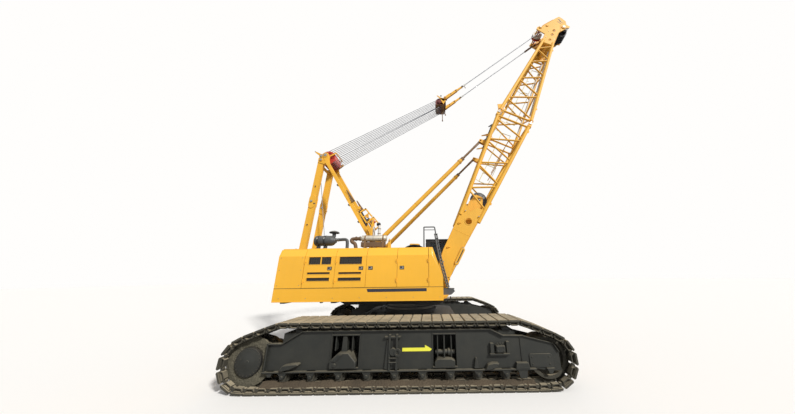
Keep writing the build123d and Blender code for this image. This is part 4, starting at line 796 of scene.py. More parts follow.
def addLatch(bm, x, z, face, out):    # sunk dish with a paddle and a lock barrel
    def span(a, b):
        return sorted((face + out * a, face + out * b))
    low, high = span(-0.004, 0.006)
    addBlock(bm, (x - 0.070, low, z - 0.055), (x + 0.070, high, z + 0.055), 0.003, 1)
    low, high = span(0.004, 0.016)
    addPlate(bm, [(x - 0.058, z - 0.040), (x + 0.030, z - 0.040), (x + 0.052, z - 0.020),
                  (x + 0.052, z + 0.040), (x - 0.058, z + 0.040)], low, high, 0.004, 2)
    low, high = span(0.015, 0.024)
    addBlock(bm, (x - 0.050, low, z - 0.012), (x + 0.012, high, z + 0.030), 0.004, 1)
    low, high = span(0.0, 0.022)
    addRod(bm, (x + 0.038, low, z - 0.026), (x + 0.038, high, z - 0.026), 0.011, segments=12, paint=2)


def makeDoorFittings(door, x, out):
    bm = bmesh.new()
    face = out * 1.5
    for number, (low, high, bottom, top) in enumerate(vents.get(door, ())):
        near, far = sorted((face - out * 0.024, face - out * 0.018))
        addBlock(bm, (low - 0.004, near, bottom - 0.004), (high + 0.004, far, top + 0.004), 0.0, 3)
        rim = 0.014
        near, far = sorted((face - out * 0.004, face + out * 0.007))
        for a, b, c, d in ((low - rim, high + rim, top, top + rim),
                           (low - rim, high + rim, bottom - rim, bottom),
                           (low - rim, low, bottom, top), (high, high + rim, bottom, top)):
            addBlock(bm, (a, near, c), (b, far, d), 0.002, 0)
        near, far = sorted((face - out * 0.018, face - out * 0.010))
        bars = 3 if number == 0 else 1
        for step in range(bars):
            z = bottom + (top - bottom) * (step + 1) / (bars + 1)
            addRod(bm, (low, (near + far) / 2, z), (high, (near + far) / 2, z), 0.004, segments=6, paint=1)
        for step in range(9):
            across = low + (high - low) * (step + 0.5) / 9
            addBlock(bm, (across - 0.002, near, bottom), (across + 0.002, far, top), 0.0, 1)
    if door == "right_door_1":
        addBlock(bm, (-2.760, face - 0.003, 2.767), (-2.725, face + 0.018, 2.993), 0.002, 0)
    if door.startswith("left") and x < -1.2:    # pressed louvres on the left
        for step in range(6):
            z = 2.36 + step * 0.055
            addPlate(bm, [(x - 0.62, z), (x - 0.10, z), (x - 0.10, z + 0.022), (x - 0.62, z + 0.022)],
                     *sorted((face - out * 0.002, face + out * 0.016)), 0.004, 0)
    addLatch(bm, x, house["latchZ"], face, out)
    finishPiece(door + ".fittings", bm, ["houseYellow", "plasticBlack", "bareSteel", "grille"], door)


# seams, rain edge, lifting eyes, bolts, grille and lamps on the right house's faces
def addHouseSide(bm, front):
    face, roof = house["face"], house["roof"]
    addBlock(bm, (-4.098, face - 0.006, 2.046), (front, face + 0.01, 2.056), 0.001, 1)
    addBlock(bm, (-4.098, face - 0.007, 1.652), (front, face + 0.03, 1.672), 0.003, 0)
    for x in (-3.95, -3.42, -2.20, -0.95, 0.10):
        if x < front:
            addTurned(bm, [(0.020, -0.010), (0.038, -0.010), (0.038, 0.010), (0.020, 0.010)],
                      (x, -0.93, roof + 0.030), 18, 2)
            addBlock(bm, (x - 0.05, -0.955, roof - 0.004), (x + 0.05, -0.905, roof + 0.010), 0.003, 2)
    for low, high in ((-3.98, -3.30), (-0.62, 0.20)):
        if high < front:
            addBlock(bm, (low, -1.30, roof - 0.002), (high, -0.90, roof + 0.006), 0.002, 3)
    sill = [-3.9 + 0.82 * i for i in range(7)]
    addBolts(bm, [((x, face, z), (0, -1, 0)) for x in (-4.02, -3.34) for z in (2.14, 2.60, 2.98)] +
             [((x, face, 1.76), (0, -1, 0)) for x in sill if x < front], 0.012, 0.007, 2)
    addBlock(bm, (-4.112, -1.42, 2.20), (-4.096, -0.90, 3.02), 0.004, 4)
    for a, b, c, d in ((-1.44, -0.88, 3.02, 3.05), (-1.44, -0.88, 2.17, 2.20), (-1.45, -1.42, 2.17, 3.05),
                       (-0.90, -0.87, 2.17, 3.05)):
        addBlock(bm, (-4.124, a, c), (-4.096, b, d), 0.004, 0)
    for step in range(11):
        z = 2.26 + step * 0.070
        addPlate(bm, [(-4.122, z), (-4.112, z + 0.004), (-4.098, z + 0.040), (-4.104, z + 0.040)], -1.42,
                 -0.90, 0.0, 0)
    for low, high, paint in (((-4.120, -1.40, 1.90), (-4.096, -1.22, 1.98), 2),
                             ((-4.126, -1.385, 1.912), (-4.112, -1.30, 1.968), 5),
                             ((-4.126, -1.295, 1.912), (-4.112, -1.235, 1.968), 6)):
        addBlock(bm, low, high, 0.004, paint)


def makeHouseTrim():
    face = house["face"]
    bm, left = bmesh.new(), bmesh.new()
    addHouseSide(bm, house["front"])
    addTube(bm, [(1.110, -1.492, 1.70), (1.110, -1.492, 2.33), (0.800, -1.492, 3.02),
                 (0.785, -1.395, 3.27)], 0.010, 0, smooth=False)
    addHouseSide(left, house["leftFront"])
    joinPart(bm, left, None, Matrix.Scale(-1, 4, (0, 1, 0)))
    finishPiece("houseTrim", bm, ["houseYellow", "plasticBlack", "bareSteel", "treadPlate", "grille",
                                  "sheaveRed", "whitePaint"],
                "superstructure")
    bm = bmesh.new()    # the plain dark stripe on the sill
    addPlate(bm, [(-1.232, 2.012), (0.612, 2.016), (0.612, 1.926), (-1.195, 1.922)], face - 0.0045,
             face + 0.003)
    finishPiece("sillStripe", bm, ["stripeNavy"], "superstructure")


def makeAirCleaner():
    bm = bmesh.new()
    middle = (-2.83, -1.15, 3.575)
    addTurned(bm, [(0.0, -0.350), (0.120, -0.350), (0.158, -0.338), (0.172, -0.315), (0.172, 0.210),
                   (0.160, 0.232), (0.150, 0.262),
                   (0.118, 0.300), (0.088, 0.330), (0.080, 0.352), (0.0, 0.352)], middle, 48, 0, (1, 0, 0),
              closed=False)
    for along in (-0.225, 0.005):
        addTurned(bm, [(0.170, along - 0.020), (0.181, along - 0.020), (0.181, along + 0.020),
                       (0.170, along + 0.020)], middle, 48, 1, (1, 0, 0))
        x = middle[0] + along
        addBlock(bm, (x - 0.045, -1.31, 3.285), (x + 0.045, -0.99, 3.305), 0.004, 1)
        addPlate(bm, [(x - 0.012, 3.30), (x + 0.012, 3.30), (x + 0.012, 3.47), (x - 0.012, 3.47)], -1.27,
                 -1.03, 0.003, 1)
        addBlock(bm, (x - 0.020, -1.345, 3.60), (x + 0.020, -1.318, 3.66), 0.004, 2)
    for along in (-0.15, -0.08, 0.08, 0.14):
        addTurned(bm, [(0.171, along - 0.006), (0.1755, along), (0.171, along + 0.006)], middle, 48, 0,
                  (1, 0, 0))
    addTube(bm, [(-2.50, -1.15, 3.60), (-2.32, -1.15, 3.61), (-2.12, -1.15, 3.62), (-2.085, -1.15, 3.50),
                 (-2.085, -1.15, 3.27)], 0.052, 0, sides=5)
    for x, along in ((-2.46, 3.603), (-2.40, 3.605)):
        addTurned(bm, [(0.050, -0.010), (0.060, -0.010), (0.060, 0.010), (0.050, 0.010)], (x, -1.15, along),
                  24, 2, (1, 0, 0))
    addTurned(bm, [(0.050, 0.0), (0.075, 0.0), (0.075, 0.020), (0.050, 0.020)], (-2.085, -1.15, 3.285), 24,
              1, (0, 0, 1))
    # rain cap on its stem
    cap = (-2.57, -1.15, 3.70)
    addTurned(bm, [(0.0, 0.0), (0.060, 0.0), (0.060, 0.150), (0.078, 0.165), (0.155, 0.150), (0.168, 0.142),
                   (0.172, 0.152), (0.150, 0.180),
                   (0.095, 0.202), (0.040, 0.210), (0.030, 0.222), (0.0, 0.224)], cap, 40, 0, (0, 0, 1),
              closed=False)
    for step in range(20):
        turn = Matrix.Translation((cap[0], cap[1], 0)) @ Matrix.Rotation(math.tau * step / 20, 4, "Z")
        addBlock(bm, (0.058, -0.003, 3.83), (0.148, 0.003, 3.858), 0.0, 1, turn)
    finishPiece("airCleaner", bm, ["engineGrey", "plasticBlack", "bareSteel"], "superstructure",
                ["air_cleaner"], sharp=0.7)


def makeSilencer():
    bm = bmesh.new()
    middle = (-1.17, -1.15, 3.635)
    addTurned(bm, [(0.0, -0.470), (0.062, -0.470), (0.072, -0.440), (0.086, -0.425), (0.106, -0.415),
                   (0.108, 0.400), (0.100, 0.414),
                   (0.060, 0.420), (0.0, 0.420)], middle, 48, 0, (1, 0, 0), closed=False)
    for along in (-0.405, -0.02, 0.395):
        addTurned(bm, [(0.105, along - 0.010), (0.1115, along - 0.008), (0.1115, along + 0.008),
                       (0.105, along + 0.010)], middle, 48, 0, (1, 0, 0))
    for x in (-1.47, -0.86):    # saddles, with a scorched shield between them
        addTurned(bm, [(0.107, -0.022), (0.114, -0.022), (0.114, 0.022), (0.107, 0.022)], (x, -1.15, 3.635),
                  48, 2, (1, 0, 0))
        addPlate(bm, [(x - 0.035, 3.285), (x + 0.035, 3.285), (x + 0.025, 3.56), (x - 0.025, 3.56)], -1.245,
                 -1.225, 0.003, 2)
        addPlate(bm, [(x - 0.035, 3.285), (x + 0.035, 3.285), (x + 0.025, 3.56), (x - 0.025, 3.56)], -1.075,
                 -1.055, 0.003, 2)
        addBlock(bm, (x - 0.060, -1.26, 3.285), (x + 0.060, -1.04, 3.300), 0.003, 2)
    addBlock(bm, (-1.60, -1.235, 3.345), (-0.76, -1.065, 3.36), 0.002, 1)
    addBlock(bm, (-1.60, -1.240, 3.345), (-0.76, -1.232, 3.505), 0.002, 1)
    for x in (-1.40, -1.17, -0.94):
        addBlock(bm, (x - 0.012, -1.244, 3.300), (x + 0.012, -1.228, 3.35), 0.002, 2)
    # rusty inlet elbow
    addTube(bm, [(-1.63, -1.15, 3.635), (-1.80, -1.15, 3.635), (-1.955, -1.15, 3.625),
                 (-1.945, -1.15, 3.52), (-1.80, -1.15, 3.47), (-1.78, -1.15, 3.27)], 0.060, 1, sides=5)
    for x in (-1.66, -1.80):
        addTurned(bm, [(0.058, -0.014), (0.078, -0.014), (0.078, 0.014), (0.058, 0.014)], (x, -1.15, 3.635),
                  32, 1, (1, 0, 0))
    addTurned(bm, [(0.058, 0.0), (0.085, 0.0), (0.085, 0.016), (0.058, 0.016)], (-1.78, -1.15, 3.285), 32,
              1, (0, 0, 1))
    # outlet stack with a dark end
    addTube(bm, [(-1.02, -1.15, 3.70), (-1.02, -1.15, 3.90), (-1.02, -1.15, 4.06), (-1.05, -1.15, 4.14)],
            0.048, 3, sides=5)
    addTurned(bm, [(0.0, 0.0), (0.056, 0.0), (0.070, 0.030), (0.068, 0.080), (0.045, 0.105), (0.0, 0.110)],
              (-1.042, -1.15, 4.085), 28, 4, (-0.25, 0, 1), closed=False)
    for z in (3.80, 3.97):
        addTurned(bm, [(0.046, -0.010), (0.056, -0.010), (0.056, 0.010), (0.046, 0.010)], (-1.02, -1.15, z),
                  28, 1, (0, 0, 1))
    finishPiece("silencer", bm, ["silencerSilver", "scorchedSteel", "tubeBrown", "whitePaint",
                                 "plasticBlack"], "superstructure",
                ["muffler"], sharp=0.7)


def makeRopeGuideStand():    # small stand with a red roller, and the flap and cover over the main winch
    bm = bmesh.new()
    for y in (-0.99, -0.85):
        addPlate(bm, [(-1.385, 3.285), (-1.325, 3.285), (-1.270, 4.30), (-1.300, 4.42), (-1.345, 4.42),
                      (-1.345, 4.20)], y - 0.012, y + 0.012, 0.004, 0)
        addPlate(bm, [(-1.235, 3.285), (-1.185, 3.285), (-1.262, 4.10), (-1.300, 4.10)], y - 0.012,
                 y + 0.012, 0.004, 1)
    addTurned(bm, [(0.018, -0.055), (0.055, -0.055), (0.055, -0.040), (0.036, -0.025), (0.036, 0.025),
                   (0.055, 0.040), (0.055, 0.055), (0.018, 0.055)],
              (-1.308, -0.92, 4.30), 28, 2)
    addRod(bm, (-1.308, -1.01, 4.30), (-1.308, -0.83, 4.30), 0.018, segments=16, paint=3)
    addRod(bm, (-1.335, -0.99, 4.42), (-1.345, -0.99, 4.54), 0.006, segments=8, paint=3)
    for z in (3.55, 3.80, 4.05):
        addRod(bm, (-1.30, -0.99, z), (-1.30, -0.85, z), 0.012, segments=10, paint=1)
    addBlock(bm, (-1.42, -1.02, 3.28), (-1.15, -0.82, 3.297), 0.004, 0)
    addPlate(bm, [(-0.72, 3.285), (-0.60, 3.285), (-0.61, 3.56), (-0.66, 3.64), (-0.70, 3.56)], -1.12,
             -1.09, 0.004, 0)
    addRod(bm, (-0.655, -1.14, 3.56), (-0.655, -1.07, 3.56), 0.022, segments=16, paint=3)
    finishPiece("ropeGuideStand", bm, ["boomYellow", "whitePaint", "sheaveRed", "bareSteel"],
                "superstructure")
    bm = bmesh.new()    # curved guard over the main winch
    profile = []
    for step in range(13):
        turn = math.radians(28 + 118 * step / 12)
        profile.append((0.15 + 0.585 * math.cos(turn), 2.90 + 0.585 * math.sin(turn)))
    inner = [(0.15 + (x - 0.15) * 0.975, 2.90 + (z - 2.90) * 0.975) for x, z in profile[::-1]]
    addPlate(bm, profile + inner, -0.60, 0.60, 0.0, 0)
    for y in (-0.60, -0.20, 0.20, 0.585):
        rim = [(0.15 + (x - 0.15) * 1.02, 2.90 + (z - 2.90) * 1.02) for x, z in profile]
        addPlate(bm, rim + profile[::-1], y, y + 0.015, 0.0, 0)
    addPlate(bm, [(0.0, 3.485), (0.33, 3.475), (0.36, 3.50), (0.30, 3.525), (0.02, 3.535), (-0.02, 3.51)],
             -0.58, -0.20, 0.006, 1)
    for side in (-1, 1):
        addBlock(bm, (0.60, side * 0.60 - 0.02, 2.86), (0.72, side * 0.60 + 0.02, 3.22), 0.004, 0)
    finishPiece("winchGuard", bm, ["winchDark", "boomYellow"], "superstructure")


def makeEngine():    # engine behind the doors: crankcase, head, pipes, pulleys and fan
    bm = bmesh.new()
    addBlock(bm, (-2.66, -1.33, 1.98), (-1.62, -0.97, 2.44), 0.02, 0)
    addBlock(bm, (-2.60, -1.28, 1.76), (-1.68, -1.02, 1.99), 0.03, 1)
    addBlock(bm, (-2.64, -1.27, 2.44), (-1.64, -1.03, 2.58), 0.015, 0)
    for step in range(6):
        x = -2.56 + step * 0.165
        addBlock(bm, (x - 0.062, -1.25, 2.575), (x + 0.062, -1.05, 2.655), 0.018, 1)
        addRod(bm, (x, -1.335, 2.30), (x, -1.37, 2.36), 0.028, segments=16, paint=2, bevel=0.003)
        addTube(bm, [(x, -1.26, 2.50), (x, -1.33, 2.50), (x, -1.35, 2.56)], 0.020, 2)
    addTube(bm, [(-2.58, -1.352, 2.57), (-2.10, -1.355, 2.58), (-1.66, -1.352, 2.57)], 0.034, 2, sides=4)
    addRod(bm, (-1.72, -1.30, 2.60), (-1.48, -1.30, 2.60), 0.085, segments=28, paint=2, bevel=0.012)
    addRod(bm, (-1.62, -1.15, 2.10), (-1.44, -1.15, 2.10), 0.17, segments=32, paint=0, bevel=0.012)
    addRod(bm, (-2.30, -1.375, 2.08), (-2.30, -1.30, 2.08), 0.060, segments=24, paint=1, bevel=0.006)
    addRod(bm, (-2.05, -1.37, 2.02), (-2.05, -1.37, 2.20), 0.050, segments=24, paint=3, bevel=0.006)
    addRod(bm, (-1.90, -1.37, 2.02), (-1.90, -1.37, 2.20), 0.050, segments=24, paint=3, bevel=0.006)
    for z, radius in ((2.10, 0.10), (2.36, 0.062), (2.52, 0.075)):
        addTurned(bm, [(0.0, -0.022), (radius, -0.022), (radius * 0.88, 0.0), (radius, 0.022),
                       (0.0, 0.022)], (-2.70, -1.15, z), 28, 4, (1, 0, 0), closed=False)
    addTube(bm, [(-2.70, -1.25, 2.10), (-2.70, -1.225, 2.52), (-2.70, -1.075, 2.52), (-2.70, -1.05, 2.10),
                 (-2.70, -1.15, 1.99)], 0.008, 1, cyclic=True)
    for step in range(8):
        blade = Matrix.Translation((-2.79, -1.15, 2.30)) @ Matrix.Rotation(math.tau * step / 8, 4,
                "X") @ Matrix.Rotation(0.6, 4, "Z")
        addBlock(bm, (-0.004, -0.035, 0.04), (0.004, 0.035, 0.21), 0.002, 4, blade)
    addTurned(bm, [(0.215, -0.05), (0.228, -0.05), (0.228, 0.05), (0.215, 0.05)], (-2.80, -1.15, 2.30), 40,
              1, (1, 0, 0))
    addBlock(bm, (-2.90, -1.37, 1.74), (-2.855, -0.93, 2.76), 0.006, 3)
    for x in (-2.50, -1.80):
        addBlock(bm, (x - 0.06, -1.36, 1.70), (x + 0.06, -0.94, 1.78), 0.006, 1)
    finishPiece("engineBlock", bm, ["engineGrey", "plasticBlack", "scorchedSteel", "whitePaint",
                                    "bareSteel"], "superstructure",
                ["engine"], sharp=0.7)


for door, (x, out) in latches.items():
    makeDoorFittings(door, x, out)
makeHouseTrim()
makeAirCleaner()
makeSilencer()
makeRopeGuideStand()
makeEngine()
for node in ("right_house", "left_house", "right_house_roof", "left_house_roof", *latches):
    dressNode(node, "houseYellow")
# the deck's near-black below 1.655 m is painted shade under the house
dressNode("revolving_frame", "deckYellowOverPaintedShade")
print("houses dressed")

# winches
winches = {"main_hoist_drum": (0.13, 2.90, 0.56, 0.33, 0.52),
           "auxiliary_hoist_drum": (-1.56, 2.56, 0.47, 0.28, 0.44),
           "boom_hoist_drum": (-2.95, 2.50, 0.42, 0.25, 0.44),
           "boom_winch_drum": (2.634, 5.168, 0.33, 0.20, 0.628)}


def makeWinch(node):    # drum with rounded flanges, rope laid on in turns and a ring of bolts
    x, z, flange, drum, half = winches[node]
    centre = (x, 0, z)
    bm = bmesh.new()
    for side in (-1, 1):
        edge = side * (half - 0.035)
        addTurned(bm, [(0.070, side * half), (flange * 0.55, side * half),
                       (flange * 0.60, side * (half - 0.012)), (flange - 0.020, side * (half - 0.012)),
                       (flange, side * (half - 0.020)), (flange, side * (half - 0.030)),
                       (flange - 0.012, edge), (0.070, edge)], centre, 64, 0)
        for step in range(8):
            turn = math.tau * step / 8
            arm = Matrix.Translation(centre) @ Matrix.Rotation(turn, 4, "Y")
            low, high = sorted((side * (half - 0.013), side * (half - 0.001)))
            addBlock(bm, (flange * 0.55, low, -0.012), (flange - 0.03, high, 0.012), 0.002, 0, arm)
        addBolts(bm, [((x + flange * 0.42 * math.cos(turn), side * half,
                        z + flange * 0.42 * math.sin(turn)), (0, side, 0))
                      for turn in [math.tau * i / 16 for i in range(16)]], 0.016, 0.010, 2)
    reach = half + 0.042
    addRod(bm, (x, -reach, z), (x, reach, z), 0.070, segments=28, paint=2, bevel=0.006)
    rope, profile = 0.013, []
    turns = int((half - 0.036) / rope)
    for number in range(-turns + 1, turns, 2):
        for angle in (-60, 0, 60):
            profile.append((drum + 0.018 + rope * (1.0 + math.cos(math.radians(angle))) * 0.5,
                            number * rope + rope * 0.9 * math.sin(math.radians(angle))))
    profile = [(0.068, -half + 0.036), (drum, -half + 0.036)] + profile + [(drum, half - 0.036),
                                                                           (0.068, half - 0.036)]
    addTurned(bm, profile, centre, 48, 1)
    finishPiece(node + ".wound", bm, ["winchDark", "wireRope", "greasedSteel"], node, [node],
                sharp=0.9)


# gearcase ends and motors on the bearing plates, and rigid oil pipes along the deck
def makeWinchMotors():
    bm = bmesh.new()
    for name in ("main_hoist_drum", "auxiliary_hoist_drum", "boom_hoist_drum"):
        x, z, _, drum, half = winches[name]
        edge = half + 0.048
        addTurned(bm, [(0.0, 0.0), (drum * 0.62, 0.0), (drum * 0.62, 0.05), (drum * 0.52, 0.07),
                       (drum * 0.30, 0.075), (0.0, 0.075)], (x, edge, z), 36, 0, closed=False)
        addRod(bm, (x, edge + 0.07, z), (x, min(edge + 0.22, 0.72), z), 0.075, segments=24, paint=1,
               bevel=0.010)
        addBolts(bm, [((x + drum * 0.55 * math.cos(t), edge + 0.05, z + drum * 0.55 * math.sin(t)),
                       (0, 1, 0)) for t in [math.tau * i / 10 for i in range(10)]], 0.014, 0.010, 2)
    for number, y in enumerate((-0.62, -0.585, -0.55, 0.59, 0.625)):
        addTube(bm, [(-3.35, y, 1.60), (-3.35, y, 1.66 + 0.01 * number), (-1.0, y, 1.66 + 0.01 * number),
                     (-0.75, y, 1.75), (-0.72, y, 1.98)], 0.014, 2, smooth=True)
    for x in (-3.0, -2.2, -1.4):
        addBlock(bm, (x - 0.03, -0.65, 1.535), (x + 0.03, -0.53, 1.64), 0.004, 1)
    addBlock(bm, (-0.90, -0.70, 1.90), (-0.52, -0.46, 2.06), 0.010, 1)
    for step in range(6):
        x = -0.87 + step * 0.055
        addRod(bm, (x + 0.02, -0.66, 2.05), (x + 0.02, -0.66, 2.10), 0.014, segments=12, paint=2)
        addRod(bm, (x + 0.02, -0.54, 2.05), (x + 0.02, -0.54, 2.09), 0.017, segments=6, paint=2)
    finishPiece("winchMotors", bm, ["winchDark", "engineGrey", "bareSteel"], "superstructure")


for node in winches:
    makeWinch(node)
makeWinchMotors()
print("winches wound")

# gantry and luffing tackle
tackle = {"head": (-3.58, 7.29), "headSheave": (0.32, 0.285, 0.105, 0.050), "bridle": (1.29, 10.18),
          "bridleSheave": (0.215, 0.185, 0.092, 0.040), "count": 6, "rope": 0.0115}
gantryLegs = {"rearFoot": (-4.06, 2.33), "rearTop": (-3.75, 7.06), "frontFoot": (-0.57, 2.30),
              "frontTop": (-3.48, 6.98),
              "rearFace": 0.505, "frontFace": 0.61}


def roundedBar(start, end, radius, endRadius=None):    # outline of a bar with round ends, in x and z
    start, end = Vector(start), Vector(end)
    heading = math.atan2(end.y - start.y, end.x - start.x)
    outline, steps = [], 7
    for centre, size, first in ((end, endRadius or radius, -0.5), (start, radius, 0.5)):
        for step in range(steps + 1):
            turn = heading + math.pi * (first + step / steps)
            outline.append((centre.x + size * math.cos(turn), centre.y + size * math.sin(turn)))
    return outline


def along(start, end, share):
    return Vector(start).lerp(Vector(end), share)


def addSheaves(bm, centre, radius, groove, shaft, count, pitch, paint=0, worn=None):
    hub, inner = shaft + 0.045, groove - 0.045
    for number in range(count):
        y = (number - (count - 1) / 2) * pitch
        addTurned(bm, [(shaft, -0.040), (hub, -0.040), (hub + 0.01, -0.009), (inner - 0.01, -0.009),
                       (inner, -0.032), (radius, -0.038),
                       (radius, -0.030), (groove + 0.016, -0.016), (groove, -0.008), (groove, 0.008),
                       (groove + 0.016, 0.016), (radius, 0.030),
                       (radius, 0.038), (inner, 0.032), (inner - 0.01, 0.009), (hub + 0.01, 0.009),
                       (hub, 0.040), (shaft, 0.040)],
                  (centre[0], y, centre[1]), 48, paint if worn is None or number % 2 else worn)
        for side in (-1, 1):
            for step in range(6):    # ribs between hub and rim
                arm = Matrix.Translation((centre[0], y, centre[1])) @ Matrix.Rotation(math.tau * step / 6,
                                                                                      4, "Y")
                low, high = sorted((side * 0.008, side * 0.028))
                addBlock(bm, (hub, low, -0.008), (inner, high, 0.008), 0.0, paint, arm)
    reach = (count - 1) / 2 * pitch + 0.05
    addRod(bm, (centre[0], -reach, centre[1]), (centre[0], reach, centre[1]), shaft, segments=28,
           paint=paint)


def makeTackleSheaves():
    bm = bmesh.new()
    radius, groove, pitch, shaft = tackle["headSheave"]
    addSheaves(bm, tackle["head"], radius, groove, shaft, tackle["count"], pitch)
    addRod(bm, (tackle["head"][0], -0.525, tackle["head"][1]),
           (tackle["head"][0], 0.525, tackle["head"][1]), shaft, segments=28, bevel=0.004)
    finishPiece("gantryWheels", bm, ["sheaveRed"], "gantry_sheaves", ["gantry_sheaves"])
    bm = bmesh.new()
    radius, groove, pitch, shaft = tackle["bridleSheave"]
    addSheaves(bm, tackle["bridle"], radius, groove, shaft, tackle["count"], pitch)
    addRod(bm, (tackle["bridle"][0], -0.315, tackle["bridle"][1]),
           (tackle["bridle"][0], 0.315, tackle["bridle"][1]), shaft, segments=28, bevel=0.004)
    finishPiece("bridleWheels", bm, ["bridleRed"], "bridle_sheaves", ["bridle_sheaves"])


def makeLuffingRopes():    # twelve parts between the two rows of sheaves
    head, bridle = Vector(tackle["head"]), Vector(tackle["bridle"])
    far = bridle - head
    heading, rope = math.atan2(far.y, far.x), tackle["rope"]
    big, small = tackle["headSheave"][1] + rope, tackle["bridleSheave"][1] + rope
    lean = math.acos((big - small) / far.length)
    bm, rear, front = bmesh.new(), bmesh.new(), bmesh.new()
    for number in range(tackle["count"]):
        place = number - (tackle["count"] - 1) / 2
        y, farY = place * tackle["headSheave"][2], place * tackle["bridleSheave"][2]
        for turn in (heading + lean, heading - lean):
            way = Vector((math.cos(turn), math.sin(turn)))
            start, end = head + way * big, bridle + way * small
            line = [(*start.lerp(end, step / 14), y + (farY - y) * step / 14) for step in range(15)]
            addTube(bm, [(x, across, z) for x, z, across in line], rope, smooth=False)
        for piece, centre, size, across, first, last in ((rear, head, big, y, heading + lean,
                                                          heading - lean + math.tau),
                                                         (front, bridle, small, farY, heading + lean,
                                                          heading - lean)):
            turns = [first + (last - first) * step / 18 for step in range(19)]
            addTube(piece, [(centre.x + size * math.cos(t), across, centre.y + size * math.sin(t))
                            for t in turns], rope, smooth=False)
    addRod(bm, (head.x + 0.35, 0.0, head.y + 0.2), (bridle.x - 0.15, 0.0, bridle.y - 0.09), 0.015,
           segments=8)
    ends = [(head.x, 0.0, head.y), (bridle.x, 0.0, bridle.y)]
    finishPiece("luffingRopes", bm, ["wireRope"], None, blend=("rope_guard", "bridle", *ends))
    finishPiece("rearRopeTurns", rear, ["wireRope"], "rope_guard")
    finishPiece("frontRopeTurns", front, ["wireRope"], "bridle")
    bm = bmesh.new()    # the lead from the head sheaves down to the winch
    addTube(bm, [(-3.88, 0.0, 7.25), (-3.905, 0.0, 6.33), (-3.478, 0.0, 4.02), (-3.20, 0.0, 2.52)], rope,
            smooth=False)
    finishPiece("winchLead", bm, ["wireRope"], "superstructure")


